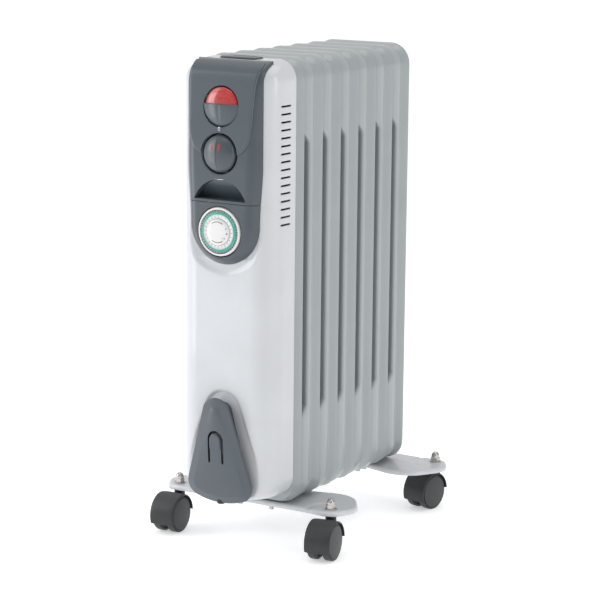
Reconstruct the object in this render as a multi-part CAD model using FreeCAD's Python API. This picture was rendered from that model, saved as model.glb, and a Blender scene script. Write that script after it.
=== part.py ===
import FreeCAD, Part
import math
import os

# Oil filled radiator heater: seven pressed fins, a sheet metal control housing
# with a plastic panel, two cross feet and four twin wheel casters.
# Millimetres, +Z up, controls face -Y, X is the symmetric width.

V = FreeCAD.Vector
os.makedirs("parts", exist_ok=True)

# ---------------------------------------------------------------- dimensions
FIN_COUNT = 7
PITCH = 42.0
FIN_HALF_W = 68.4
FIN_BOTTOM_Z = 56.6
FIN_TOP_Z = 592.0
FIN_CORNER_R = 26.0
FIN_SHEET = 1.0
FIN1_REAR_Y = -105.0
CORE_BACK = 14.0            # core sheet plane ahead of the rear edge of a fin
SLOT_BOTTOM_Z = 162.0       # air slots between the flanges, both sides
SLOT_TOP_Z = 506.0
SLOT_DEPTH = 12.4
HEADER_TOP_Z = 536.0
HEADER_BOTTOM_Z = 110.0
HEADER_R = 19.0
HEADER_BORE_R = 17.0
CHAMBER_HALF_W = 30.0
CHAMBER_HALF_T = 5.0
CHAMBER_SHEET = 1.2
CHAMBER_REACH = 30.0        # chamber ends beyond the header axes
HEADER_CAP = 1.5            # closing wall of the two blind header ends
FIN_STATIONS = [            # (depth from the front edge, draw-in of the outline)
    (1.4, 3.4),
    (3.4, 1.8),
    (13.0, 1.2),
    (23.0, 2.2),
    (28.0, 4.2),
    (31.5, 3.0),
    (36.5, 1.0),
    (42.0, 0.0),
]
CORE_STATION = 28.0
UBOLT_X = HEADER_R + 3.3
UBOLT_R = 2.9
UBOLT_FINS = (1, 6)

HOUSING_HALF_W = 66.0
HOUSING_BOTTOM_Z = 70.0
HOUSING_TOP_Z = 590.0
HOUSING_REAR_Y = FIN1_REAR_Y - 15.6
HOUSING_FRONT_Y = FIN1_REAR_Y - 68.0
HOUSING_SHEET = 1.6
HOUSING_ROLL_R = 30.0       # vertical front corners, seen from above
HOUSING_CORNER_R = 24.0     # corners of the front outline
HOUSING_BOTTOM_ROLL = 8.0
HOUSING_TOP_ROLL = 24.0
VENT_COUNT = 16
VENT_PITCH = 9.18
VENT_FIRST_Z = 400.6
VENT_LENGTH = 19.8
VENT_HEIGHT = 2.2
VENT_Y = FIN1_REAR_Y - 36.5
GRIP_HALF_W = 25.0
GRIP_FRONT_Y = FIN1_REAR_Y - 41.0
GRIP_REAR_Y = FIN1_REAR_Y - 19.5
GRIP_TOP_Z = 591.8
SCREW_SPOTS = [(-44, 150), (44, 150), (-44, 520), (44, 520)]
SCREW_R = 2.1
PLATE_REAR_Y = HOUSING_REAR_Y - 1.4
PLATE_SHEET = 1.2

PANEL_BASE_Y = FIN1_REAR_Y - 60.0
PANEL_FRONT_Y = FIN1_REAR_Y - 76.0
PANEL_SEAM_Z = 425.0
PANEL_WALL = 2.5
U_CENTRE_Z = 399.0
MOAT_R = 59.5
MOAT_FLOOR_Y = FIN1_REAR_Y - 64.8
SCOOP_DEPTH = 18.0
SCOOP_HALF_W = 35.0
SCOOP_FLOOR_Z = 428.5
SCOOP_RISE = 24.0
SHIELD_LIFT = 1.6

LENS_Z = 537.0
LENS_R = 22.3
LENS_BASE_Y = FIN1_REAR_Y - 72.0
HOOD_R = 25.2
KNOB_Z = 482.5
KNOB_R = 22.0
KNOB_HOLE_R = 23.8
KNOB_DEPTH = 13.0
KNOB_BASE_Y = PANEL_FRONT_Y + 1.5
SHAFT_R = 3.0
THERMOSTAT_FRONT_Y = FIN1_REAR_Y - 60.0
TIMER_Z = 391.5
TIMER_R = 28.6
TIMER_FRONT_Y = FIN1_REAR_Y - 78.0
TIMER_DEPTH = 12.0
DIAL_R = 25.6
DIAL_RING_R = 23.2
TIMER_POST_R = 4.0
TAPPET_COUNT = 48

COVER_APEX_Z = 176.0
COVER_CORNER_Z = 88.0
COVER_BASE_Y = MOAT_FLOOR_Y
COVER_RIM_Y = FIN1_REAR_Y - 71.5    # rear of the flange, at its corner circles
COVER_RIM_T = 3.0
COVER_RIM_LEAN = 5.1        # degrees, top towards the front
COVER_FRONT_Y = FIN1_REAR_Y - 78.0
COVER_FACE_LEAN = 4.0
COVER_WALL = 2.2
TONGUE_Z = 113.0            # lower end of the slit round the clip tongue
GLAND_Y = COVER_BASE_Y - 5.9
GLAND_R = 4.6
GLAND_COLLAR_R = 5.4
CORD_HOLE_R = 3.4

FLANGE_Y = FIN1_REAR_Y - CORE_BACK - 8.0
ELEMENT_X = 9.0
ELEMENT_R = 4.0
TERMINAL_Z = 205.0
CUTOUT_Z = 290.0
WIRE_R = 1.4

FOOT_TOP_Z = 56.4
FOOT_SHEET = 1.6
FOOT_SKIRT = 5.8
FRONT_STEM_Y = FIN1_REAR_Y + 2.0
REAR_STEM_Y = FIN1_REAR_Y + 266.0
STEM_X = 108.8
STEM_R = 3.9
STEM_BOTTOM_Z = 30.0
COLLAR_R = 5.3
WASHER_R = 7.4
WASHER_T = 1.3
NUT_CORNER_R = 6.2
NUT_HEX_H = 5.2
NUT_DOME_R = 5.1
NUT_TOP_Z = 69.6

WHEEL_R = 22.5
WHEEL_INNER = 4.4
WHEEL_TREAD = 14.6
WHEEL_FACE = 16.2
AXLE_OFFSET = 19.8
AXLE_R = 2.5
HOOD_INNER_R = 23.5
HOOD_OUTER_R = 25.6
HOOD_START_DEG = -22.0      # from the horizontal away from the stem
HOOD_STOP_DEG = 176.0
SOCKET_R = 6.6
SOCKET_TOP_Z = 49.8
AXLE_HALF = 13.0
CASTERS = {
    "fl": (-STEM_X, FRONT_STEM_Y, 3.7),
    "fr": (STEM_X, FRONT_STEM_Y, 8.3),
    "rl": (-STEM_X, REAR_STEM_Y, 5.0),
    "rr": (STEM_X, REAR_STEM_Y, -9.9),
}
FIT = 0.08                  # radial running clearance
GAP = 0.35                  # free gap between neighbouring pieces


# ------------------------------------------------------------------- helpers
def save(name, shape):
    """Write one sub-part; a list becomes a group of separate solids."""
    if isinstance(shape, list):
        shape = Part.makeCompound(shape)
    solids = len(shape.Solids)
    shape.exportStep("parts/" + name + ".step")
    box = shape.BoundBox
    print("%-22s solids %3d  x %7.1f %7.1f  y %7.1f %7.1f  z %6.1f %6.1f" % (
        name, solids, box.XMin, box.XMax, box.YMin, box.YMax, box.ZMin, box.ZMax))
    return shape


def block(x0, x1, y0, y1, z0, z1):
    """Axis aligned block between two corners."""
    return Part.makeBox(x1 - x0, y1 - y0, z1 - z0, V(x0, y0, z0))


def rod_y(x, z, radius, y0, y1):
    """Cylinder along Y."""
    return Part.makeCylinder(radius, y1 - y0, V(x, y0, z), V(0, 1, 0))


def rod_z(x, y, radius, z0, z1):
    """Cylinder along Z."""
    return Part.makeCylinder(radius, z1 - z0, V(x, y, z0), V(0, 0, 1))


def rod_x(y, z, radius, x0, x1):
    """Cylinder along X."""
    return Part.makeCylinder(radius, x1 - x0, V(x0, y, z), V(1, 0, 0))


def fuse(shapes):
    """Fuse a list of shapes into one."""
    result = shapes[0]
    for item in shapes[1:]:
        result = result.fuse(item)
    return result.removeSplitter()


def polygon_prism(points, direction):
    """Extrude a closed polygon of vectors."""
    wire = Part.makePolygon(points + [points[0]])
    return Part.Face(wire).extrude(direction)


def arc(p0, p1, p2):
    """Arc edge through three points."""
    return Part.Arc(p0, p1, p2).toShape()


def line(p0, p1):
    """Straight edge."""
    return Part.makeLine(p0, p1)


def rounded_wire(y, half_w, z0, z1, radius):
    """Rounded rectangle in an XZ plane."""
    k = radius * (1.0 - math.sqrt(0.5))
    a = half_w - radius
    return Part.Wire([
        line(V(-a, y, z0), V(a, y, z0)),
        arc(V(a, y, z0), V(half_w - k, y, z0 + k), V(half_w, y, z0 + radius)),
        line(V(half_w, y, z0 + radius), V(half_w, y, z1 - radius)),
        arc(V(half_w, y, z1 - radius), V(half_w - k, y, z1 - k), V(a, y, z1)),
        line(V(a, y, z1), V(-a, y, z1)),
        arc(V(-a, y, z1), V(-half_w + k, y, z1 - k), V(-half_w, y, z1 - radius)),
        line(V(-half_w, y, z1 - radius), V(-half_w, y, z0 + radius)),
        arc(V(-half_w, y, z0 + radius), V(-half_w + k, y, z0 + k), V(-a, y, z0)),
    ])


def slot_prism(half_w, z0, z1, y0, y1):
    """Upright slot with round ends, extruded along Y."""
    wire = Part.Wire([
        line(V(half_w, y0, z0 + half_w), V(half_w, y0, z1 - half_w)),
        arc(V(half_w, y0, z1 - half_w), V(0, y0, z1), V(-half_w, y0, z1 - half_w)),
        line(V(-half_w, y0, z1 - half_w), V(-half_w, y0, z0 + half_w)),
        arc(V(-half_w, y0, z0 + half_w), V(0, y0, z0), V(half_w, y0, z0 + half_w)),
    ])
    return Part.Face(wire).extrude(V(0, y1 - y0, 0))


def mirror_x(shape):
    """Mirror across the symmetry plane."""
    return shape.mirror(V(0, 0, 0), V(1, 0, 0))


def dome_y(x, z, y_base, radius, height, direction=-1.0):
    """Spherical cap standing on an XZ plane, pointing along -Y or +Y."""
    ball = (radius * radius + height * height) / (2.0 * height)
    sphere = Part.makeSphere(ball, V(x, y_base - direction * (ball - height), z))
    if direction < 0:
        keep = block(x - ball, x + ball, y_base - height - 1, y_base, z - ball, z + ball)
    else:
        keep = block(x - ball, x + ball, y_base, y_base + height + 1, z - ball, z + ball)
    return sphere.common(keep)


def tube_along(points, radius):
    """Round tube along a smooth curve through the points."""
    curve = Part.BSplineCurve()
    curve.interpolate(points)
    path = Part.Wire(curve.toShape())
    start = curve.tangent(curve.FirstParameter)[0]
    ring = Part.Wire(Part.makeCircle(radius, points[0], start))
    return path.makePipeShell([ring], True, False)


# ---------------------------------------------------------------------- fins
def fin_loft(y_front, stations, inset):
    """Solid bounded by rounded rectangles at the section stations."""
    wires = []
    for depth, offset in stations:
        total = offset + inset
        wires.append(rounded_wire(
            y_front + depth,
            FIN_HALF_W - total,
            FIN_BOTTOM_Z + total,
            FIN_TOP_Z - total,
            FIN_CORNER_R - total))
    return Part.makeLoft(wires, True, True)


def air_slot_cutter(y_front):
    """Cut back of the front flange edge at mid height, both sides."""
    z0 = SLOT_BOTTOM_Z
    z1 = SLOT_TOP_Z
    profile = [
        V(50, y_front - 1.0, z0),
        V(50, y_front + 5.0, z0 + 2.0),
        V(50, y_front + 9.5, z0 + 7.0),
        V(50, y_front + SLOT_DEPTH, z0 + 16.0),
        V(50, y_front + SLOT_DEPTH, z1 - 16.0),
        V(50, y_front + 9.5, z1 - 7.0),
        V(50, y_front + 5.0, z1 - 2.0),
        V(50, y_front - 1.0, z1),
    ]
    right = polygon_prism(profile, V(30, 0, 0))
    return [right, mirror_x(right)]


def make_fin(index):
    """One fin: two welded sheets with a flange all round and hollow headers."""
    y_rear = FIN1_REAR_Y + PITCH * index
    y_front = y_rear - PITCH
    core_y = y_rear - CORE_BACK
    stations = FIN_STATIONS
    if index == 0:
        stations = [item for item in FIN_STATIONS if item[0] >= CORE_STATION]
    outer = fin_loft(y_front, stations, 0.0)
    inner = fin_loft(y_front, stations, FIN_SHEET)
    flange = outer.cut(inner)
    core = fin_loft(y_front, [(27.0, 4.0), (28.0, 4.2), (29.0, 4.0)], 0.0)
    low = HEADER_BOTTOM_Z - CHAMBER_REACH
    high = HEADER_TOP_Z + CHAMBER_REACH
    chamber = slot_prism(CHAMBER_HALF_W, low, high, core_y - CHAMBER_HALF_T, core_y + CHAMBER_HALF_T)
    hollow = slot_prism(
        CHAMBER_HALF_W - CHAMBER_SHEET, low + CHAMBER_SHEET, high - CHAMBER_SHEET,
        core_y - CHAMBER_HALF_T + FIN_SHEET, core_y + CHAMBER_HALF_T - FIN_SHEET)
    ahead = PITCH / 2.0
    behind = PITCH / 2.0
    if index == 0:
        ahead = 8.0
    if index == FIN_COUNT - 1:
        behind = 9.0
    solid = [flange, core, chamber]
    holes = [hollow]
    for z in (HEADER_BOTTOM_Z, HEADER_TOP_Z):
        solid.append(rod_y(0, z, HEADER_R, core_y - ahead, core_y + behind))
        bore_start = core_y - ahead
        bore_end = core_y + behind
        if index == 0 and z == HEADER_TOP_Z:
            bore_start += HEADER_CAP
        if index == FIN_COUNT - 1:
            bore_end -= HEADER_CAP
        holes.append(rod_y(0, z, HEADER_BORE_R, bore_start, bore_end))
    fin = fuse(solid)
    if index > 0:
        holes += air_slot_cutter(y_front)
    if index in UBOLT_FINS:
        y = ubolt_y(index)
        for x in (-UBOLT_X, UBOLT_X):
            holes.append(rod_z(x, y, 3.6, FIN_BOTTOM_Z - 1.0, FIN_BOTTOM_Z + 8.0))
    for item in holes:
        fin = fin.cut(item)
    return fin


# ---------------------------------------------------------- clamps for feet
def ubolt_y(index):
    """Plane of the clamp around the header ahead of this fin."""
    return FIN1_REAR_Y + PITCH * index - CORE_BACK - PITCH / 2.0


def make_ubolt(y):
    """Rod bent over the lower header, legs down through the foot."""
    z = HEADER_BOTTOM_Z
    bend = Part.makeTorus(UBOLT_X, UBOLT_R, V(0, y, z), V(0, 1, 0))
    bend = bend.common(block(-40, 40, y - 5, y + 5, z, z + 40))
    legs = [rod_z(x, y, UBOLT_R, 42.0, z) for x in (-UBOLT_X, UBOLT_X)]
    return fuse([bend] + legs)


def make_wing_nut(x, y):
    """Wing nut under the foot channel."""
    top = FOOT_TOP_Z - FOOT_SHEET
    hub = rod_z(x, y, 4.3, top - 6.0, top)
    wings = block(x - 12.0, x + 12.0, y - 1.2, y + 1.2, top - 9.0, top - 2.0)
    hole = rod_z(x, y, UBOLT_R + FIT, top - 12.0, top + 1.0)
    return fuse([hub, wings]).cut(hole)


# ------------------------------------------------------------------- housing
def housing_solid(inset):
    """Body bounded by the plan, the side profile and the front outline."""
    w = HOUSING_HALF_W - inset
    front = HOUSING_FRONT_Y + inset
    rear = HOUSING_REAR_Y
    r = HOUSING_ROLL_R - inset
    c = w - r
    k = r * math.sqrt(0.5)
    bottom = HOUSING_BOTTOM_Z + inset
    top = HOUSING_TOP_Z - inset
    plan = Part.Wire([
        line(V(-w, rear, 0), V(w, rear, 0)),
        line(V(w, rear, 0), V(w, front + r, 0)),
        arc(V(w, front + r, 0), V(c + k, front + r - k, 0), V(c, front, 0)),
        line(V(c, front, 0), V(-c, front, 0)),
        arc(V(-c, front, 0), V(-c - k, front + r - k, 0), V(-w, front + r, 0)),
        line(V(-w, front + r, 0), V(-w, rear, 0)),
    ])
    body = Part.Face(plan).extrude(V(0, 0, 700))
    q = HOUSING_BOTTOM_ROLL
    s = HOUSING_TOP_ROLL
    qk = q * (1.0 - math.sqrt(0.5))
    side = Part.Wire([
        line(V(-80, rear + 1, bottom), V(-80, front + q, bottom)),
        arc(V(-80, front + q, bottom), V(-80, front + qk, bottom + qk), V(-80, front, bottom + q)),
        line(V(-80, front, bottom + q), V(-80, front, top - s - 3.0)),
        arc(V(-80, front, top - s - 3.0), V(-80, front + 7.1, top - 9.9), V(-80, front + s, top - 2.6)),
        line(V(-80, front + s, top - 2.6), V(-80, rear + 1, top)),
        line(V(-80, rear + 1, top), V(-80, rear + 1, bottom)),
    ])
    body = body.common(Part.Face(side).extrude(V(160, 0, 0)))
    outline = Part.Face(rounded_wire(front - 5, w, bottom, top, HOUSING_CORNER_R - inset))
    return body.common(outline.extrude(V(0, 90, 0)))


def u_prism(radius, y0, y1, top=620.0):
    """U shaped prism, round end down, extruded along Y."""
    wire = Part.Wire([
        line(V(radius, y0, U_CENTRE_Z), V(radius, y0, top)),
        line(V(radius, y0, top), V(-radius, y0, top)),
        line(V(-radius, y0, top), V(-radius, y0, U_CENTRE_Z)),
        arc(V(-radius, y0, U_CENTRE_Z), V(0, y0, U_CENTRE_Z - radius), V(radius, y0, U_CENTRE_Z)),
    ])
    return Part.Face(wire).extrude(V(0, y1 - y0, 0))


def teardrop_wire(y, apex_r, corner_x, corner_z, corner_r, bottom_z):
    """Rounded triangle, apex up, in an XZ plane."""
    dx = corner_x
    dz = corner_z - COVER_APEX_Z
    span = math.hypot(dx, dz)
    turn = math.atan2(dz, dx)
    lift = math.acos((apex_r - corner_r) / span)
    nx = math.cos(turn + lift)
    nz = math.sin(turn + lift)
    a = V(apex_r * nx, y, COVER_APEX_Z + apex_r * nz)
    b = V(corner_x + corner_r * nx, y, corner_z + corner_r * nz)
    drop = math.radians(-62.0)
    mid_angle = (math.atan2(nz, nx) + drop) / 2.0
    m = V(corner_x + corner_r * math.cos(mid_angle), y, corner_z + corner_r * math.sin(mid_angle))
    e = V(corner_x + corner_r * math.cos(drop), y, corner_z + corner_r * math.sin(drop))
    apex = V(0, y, COVER_APEX_Z + apex_r)
    low = V(0, y, bottom_z)
    return Part.Wire([
        arc(V(-a.x, y, a.z), apex, a),
        line(a, b),
        arc(b, m, e),
        arc(e, low, V(-e.x, y, e.z)),
        arc(V(-e.x, y, e.z), V(-m.x, y, m.z), V(-b.x, y, b.z)),
        line(V(-b.x, y, b.z), V(-a.x, y, a.z)),
    ])


def leaning(wire, y, degrees):
    """Tip a wire about the line through its corner circles, top forwards."""
    copy = wire.copy()
    copy.rotate(V(0, y, COVER_CORNER_Z), V(1, 0, 0), degrees)
    return copy


def cover_solid(inset, base_y):
    """Cord hook: a neck that widens into a leaning flange with a smaller face."""
    z = COVER_CORNER_Z
    rear_y = COVER_RIM_Y - inset
    shoulder_y = COVER_RIM_Y - COVER_RIM_T
    front_y = COVER_FRONT_Y + inset
    base = teardrop_wire(base_y, 11.0 - inset, 18.0, z + 4.0, 16.0 - inset, 67.0 + inset)
    rear = teardrop_wire(rear_y, 19.0 - inset, 26.5, z, 18.2 - inset, 65.4 + inset)
    shoulder = teardrop_wire(shoulder_y, 19.3 - inset, 26.5, z, 18.5 - inset, 65.0 + inset)
    front = teardrop_wire(front_y, 8.0 - inset, 23.0, z + 1.0, 10.8 - inset, 74.0 + inset)
    return Part.makeLoft([
        base,
        leaning(rear, rear_y, COVER_RIM_LEAN),
        leaning(shoulder, shoulder_y, COVER_RIM_LEAN),
        leaning(front, front_y, COVER_FACE_LEAN)], True, True)


def make_housing(panel_body):
    """Sheet shell, open at the rear, with recesses, vents and openings."""
    outer = housing_solid(0.0)
    inner = housing_solid(HOUSING_SHEET)
    front = HOUSING_FRONT_Y - 20.0
    outer = outer.cut(u_prism(MOAT_R, front, MOAT_FLOOR_Y))
    inner = inner.cut(u_prism(MOAT_R + 2.0, front, MOAT_FLOOR_Y + HOUSING_SHEET))
    seat = Part.Face(teardrop_wire(front, 25.5, 27.5, COVER_CORNER_Z, 27.0, 48.0))
    seat_in = Part.Face(teardrop_wire(front, 27.5, 27.5, COVER_CORNER_Z, 29.0, 46.0))
    outer = outer.cut(seat.extrude(V(0, MOAT_FLOOR_Y - front, 0)))
    inner = inner.cut(seat_in.extrude(V(0, MOAT_FLOOR_Y + HOUSING_SHEET - front, 0)))
    shell = outer.cut(inner)
    shell = shell.cut(panel_body)
    shell = shell.cut(block(-9, 9, front, HOUSING_FRONT_Y + 9.0, 96.0, 160.0))
    for k in range(VENT_COUNT):
        z = VENT_FIRST_Z + VENT_PITCH * k
        y0 = VENT_Y - VENT_LENGTH / 2.0 + VENT_HEIGHT / 2.0
        y1 = VENT_Y + VENT_LENGTH / 2.0 - VENT_HEIGHT / 2.0
        vent = fuse([
            block(-70, 70, y0, y1, z - VENT_HEIGHT / 2.0, z + VENT_HEIGHT / 2.0),
            rod_x(y0, z, VENT_HEIGHT / 2.0, -70, 70),
            rod_x(y1, z, VENT_HEIGHT / 2.0, -70, 70)])
        shell = shell.cut(vent)
    reach = GRIP_HALF_W + 0.4
    grip = block(-reach, reach, GRIP_FRONT_Y - 0.4, GRIP_REAR_Y + 0.4, 570, 600)
    return shell.cut(grip)


def make_top_grip():
    """Plastic insert in the top of the housing with a finger hollow below."""
    w = GRIP_HALF_W
    top = GRIP_TOP_Z
    lip = block(-w, w, GRIP_FRONT_Y, GRIP_REAR_Y, top - 6.3, top)
    lip = lip.makeFillet(1.6, [e for e in lip.Edges if e.BoundBox.ZMin > top - 0.8])
    tray = block(3 - w, w - 3, GRIP_FRONT_Y + 2.5, GRIP_REAR_Y - 2.0, top - 14.8, top - 5.8)
    hollow = block(5 - w, w - 5, GRIP_FRONT_Y + 4.5, GRIP_REAR_Y - 4.0, top - 16.8, top - 3.3)
    return fuse([lip, tray]).cut(hollow)


def make_back_plate():
    """Sheet closing the rear of the housing, with room for the headers."""
    y0 = PLATE_REAR_Y - PLATE_SHEET
    y1 = PLATE_REAR_Y
    body = housing_solid(HOUSING_SHEET + GAP)
    plate = body.common(block(-80, 80, y0, y1, 0, 700))
    room = CHAMBER_HALF_W + 2.0
    middle = slot_prism(room, HEADER_BOTTOM_Z - 32.0, HEADER_TOP_Z + 32.0, y0 - 1, y1 + 1)
    plate = plate.cut(middle)
    for x, z in SCREW_SPOTS:
        plate = plate.cut(rod_y(x, z, SCREW_R + FIT, y0 - 1, y1 + 1))
    return plate


def make_screws():
    """Pan head screws that hold the back plate to the first fin."""
    screws = []
    head_y = PLATE_REAR_Y - PLATE_SHEET
    tip_y = FIN1_REAR_Y - CORE_BACK - 1.0
    for x, z in SCREW_SPOTS:
        head = rod_y(x, z, 4.0, head_y - 2.4, head_y)
        shank = rod_y(x, z, SCREW_R, head_y, tip_y)
        cross = fuse([
            block(x - 2.4, x + 2.4, head_y - 3, head_y - 1.2, z - 0.5, z + 0.5),
            block(x - 0.5, x + 0.5, head_y - 3, head_y - 1.2, z - 2.4, z + 2.4)])
        screws.append(fuse([head, shank]).cut(cross))
    return screws


# --------------------------------------------------------------------- panel
def panel_outline(y, half_top, half_low, radius, top):
    """Closed outline of the panel with a U shaped lower end."""
    bottom = U_CENTRE_Z - radius
    return Part.Wire([
        line(V(-half_top, y, top), V(-half_top, y, 480.0)),
        line(V(-half_top, y, 480.0), V(-half_low, y, U_CENTRE_Z + 20.0)),
        line(V(-half_low, y, U_CENTRE_Z + 20.0), V(-radius, y, U_CENTRE_Z)),
        arc(V(-radius, y, U_CENTRE_Z), V(0, y, bottom), V(radius, y, U_CENTRE_Z)),
        line(V(radius, y, U_CENTRE_Z), V(half_low, y, U_CENTRE_Z + 20.0)),
        line(V(half_low, y, U_CENTRE_Z + 20.0), V(half_top, y, 480.0)),
        line(V(half_top, y, 480.0), V(half_top, y, top)),
        line(V(half_top, y, top), V(-half_top, y, top)),
    ])


def panel_side(inset, rear_y):
    """Side profile of the panel, extruded over the full width."""
    y0 = FIN1_REAR_Y
    points = [
        (rear_y, 340.0 + inset),
        (PANEL_FRONT_Y + inset, 340.0 + inset),
        (PANEL_FRONT_Y + inset, 500.0),
        (y0 - 73.3 + inset, 530.0),
        (y0 - 71.0 + inset, 553.0),
        (y0 - 69.0 + inset, 567.0 - inset * 0.2),
        (y0 - 64.8 + inset * 0.9, 577.0 - inset * 0.5),
        (y0 - 58.0 + inset * 0.7, 583.8 - inset * 0.8),
        (y0 - 50.0 + inset * 0.3, 588.0 - inset),
        (y0 - 42.0, 589.4 - inset),
        (y0 - 42.0, 560.0),
        (rear_y, 560.0),
    ]
    return polygon_prism([V(-60, y, z) for y, z in points], V(120, 0, 0))


def panel_solid(inset, rear_y):
    """Panel body: bevelled loft limited by the side profile."""
    base = panel_outline(MOAT_FLOOR_Y, 51.0 - inset, 48.0 - inset, 47.5 - inset, 640.0)
    front = panel_outline(PANEL_FRONT_Y, 40.5 - inset, 38.5 - inset, 38.5 - inset, 640.0)
    bevel = Part.makeLoft([base, front], True, True)
    behind = Part.Face(base).extrude(V(0, 30, 0))
    return fuse([bevel, behind]).common(panel_side(inset, rear_y))


def scoop_prism(grow, y0, y1):
    """Arch shaped prism, flat side down."""
    r = SCOOP_HALF_W + grow
    z = SCOOP_FLOOR_Z - grow
    rise = SCOOP_RISE + grow * 2.0
    wire = Part.Wire([
        line(V(-r, y0, z), V(r, y0, z)),
        arc(V(r, y0, z), V(0, y0, z + rise), V(-r, y0, z)),
    ])
    return Part.Face(wire).extrude(V(0, y1 - y0, 0))


def make_panel_upper():
    """Upper panel shell with knob well, lens opening and finger scoop."""
    outer = panel_solid(0.0, PANEL_BASE_Y)
    inner = panel_solid(PANEL_WALL, PANEL_BASE_Y + 1.0)
    top_hollow = block(-60, 60, FIN1_REAR_Y - 50.0, FIN1_REAR_Y - 30.0, 500.0, 585.6)
    shell = outer.cut(inner).cut(top_hollow)
    keep = block(-60, 60, PANEL_FRONT_Y - 5, FIN1_REAR_Y, PANEL_SEAM_Z, 600)
    shell = shell.common(keep)
    well = rod_y(0, KNOB_Z, KNOB_HOLE_R + 2.0, PANEL_FRONT_Y + 1.0, PANEL_FRONT_Y + 12.0)
    nest = rod_y(0, LENS_Z, HOOD_R + 1.5, PANEL_FRONT_Y + 5.0, PANEL_FRONT_Y + 14.0)
    nest = nest.common(panel_solid(0.5, PANEL_BASE_Y))
    scoop = scoop_prism(2.0, PANEL_FRONT_Y + 1.0, PANEL_FRONT_Y + SCOOP_DEPTH + 2.0)
    scoop = scoop.common(keep)
    shell = fuse([shell, well, nest, scoop])
    shell = shell.cut(rod_y(0, KNOB_Z, KNOB_HOLE_R, PANEL_FRONT_Y - 5, PANEL_FRONT_Y + 10.0))
    shell = shell.cut(rod_y(0, KNOB_Z, 5.0, PANEL_FRONT_Y, PANEL_FRONT_Y + 20.0))
    shell = shell.cut(rod_y(0, LENS_Z, HOOD_R - 1.2, PANEL_FRONT_Y - 5, PANEL_FRONT_Y + 20.0))
    floor = scoop_prism(0.0, PANEL_FRONT_Y - 1.0, PANEL_FRONT_Y + SCOOP_DEPTH)
    ramp = polygon_prism([
        V(-60, PANEL_FRONT_Y - 1.0, SCOOP_FLOOR_Z - 0.5),
        V(-60, PANEL_FRONT_Y + SCOOP_DEPTH, SCOOP_FLOOR_Z - 0.5),
        V(-60, PANEL_FRONT_Y + 1.5, 455.0),
        V(-60, PANEL_FRONT_Y - 1.0, 455.0)], V(120, 0, 0))
    return shell.cut(floor.common(ramp))


def shield_face(y):
    """Shield outline: wide at the top, closing in on the knob."""
    right = [
        V(48.0, y, 584.0), V(45.5, y, 570.0), V(44.0, y, 553.0), V(43.0, y, 530.0),
        V(42.2, y, 510.0), V(39.6, y, 496.0), V(33.5, y, 487.5), V(27.0, y, 483.0)]
    left = [V(-p.x, y, p.z) for p in right]
    spline_r = Part.BSplineCurve()
    spline_r.interpolate(right)
    spline_l = Part.BSplineCurve()
    spline_l.interpolate(left)
    return Part.Face(Part.Wire([
        line(left[0], right[0]),
        spline_r.toShape(),
        line(right[-1], left[-1]),
        spline_l.toShape()]))


def make_shield():
    """Thin cap plate on the front of the upper panel with the half hood."""
    prism = shield_face(PANEL_FRONT_Y - 6.0).extrude(V(0, 25, 0))
    over = panel_solid(0.0, PANEL_BASE_Y).copy()
    over.translate(V(0, -SHIELD_LIFT, 0))
    skin = over.cut(panel_solid(-0.02, PANEL_BASE_Y)).common(prism)
    skin = skin.cut(rod_y(0, KNOB_Z, KNOB_HOLE_R, PANEL_FRONT_Y - 9, PANEL_FRONT_Y + 20))
    skin = skin.cut(rod_y(0, LENS_Z, HOOD_R - 1.2, PANEL_FRONT_Y - 9, PANEL_FRONT_Y + 20))
    base_y = LENS_BASE_Y
    cap = dome_y(0, LENS_Z, base_y, HOOD_R, 9.0)
    cap = cap.cut(dome_y(0, LENS_Z, base_y + 0.01, HOOD_R - 2.0, 7.2))
    rim = rod_y(0, LENS_Z, HOOD_R, base_y, base_y + 4.0)
    rim = rim.cut(rod_y(0, LENS_Z, HOOD_R - 1.2, base_y - 1, base_y + 5.0))
    lower = block(-40, 40, base_y - 20, base_y + 3.6, LENS_Z - 40, LENS_Z + 2.5)
    hood = fuse([cap, rim]).common(lower)
    hood = hood.cut(panel_solid(-0.02, PANEL_BASE_Y))
    pieces = fuse([skin, hood])
    return max(pieces.Solids, key=lambda item: item.Volume)


def make_lens():
    """Translucent dome behind the hood with a flange at its back."""
    cap = dome_y(0, LENS_Z, LENS_BASE_Y + 1.0, LENS_R, 6.0)
    cap = cap.cut(dome_y(0, LENS_Z, LENS_BASE_Y + 1.01, LENS_R - 1.8, 4.4))
    skirt = rod_y(0, LENS_Z, LENS_R, LENS_BASE_Y + 1.0, LENS_BASE_Y + 7.0)
    skirt = skirt.cut(rod_y(0, LENS_Z, LENS_R - 1.8, LENS_BASE_Y, LENS_BASE_Y + 8.0))
    return fuse([cap, skirt])


def make_panel_lower(timer_hole):
    """Lower panel shell that carries the timer."""
    outer = panel_solid(0.0, PANEL_BASE_Y)
    inner = panel_solid(PANEL_WALL, PANEL_BASE_Y + 1.0)
    keep = block(-60, 60, PANEL_FRONT_Y - 5, FIN1_REAR_Y, 330, PANEL_SEAM_Z - GAP)
    shell = outer.cut(inner).common(keep)
    return shell.cut(timer_hole)


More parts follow.
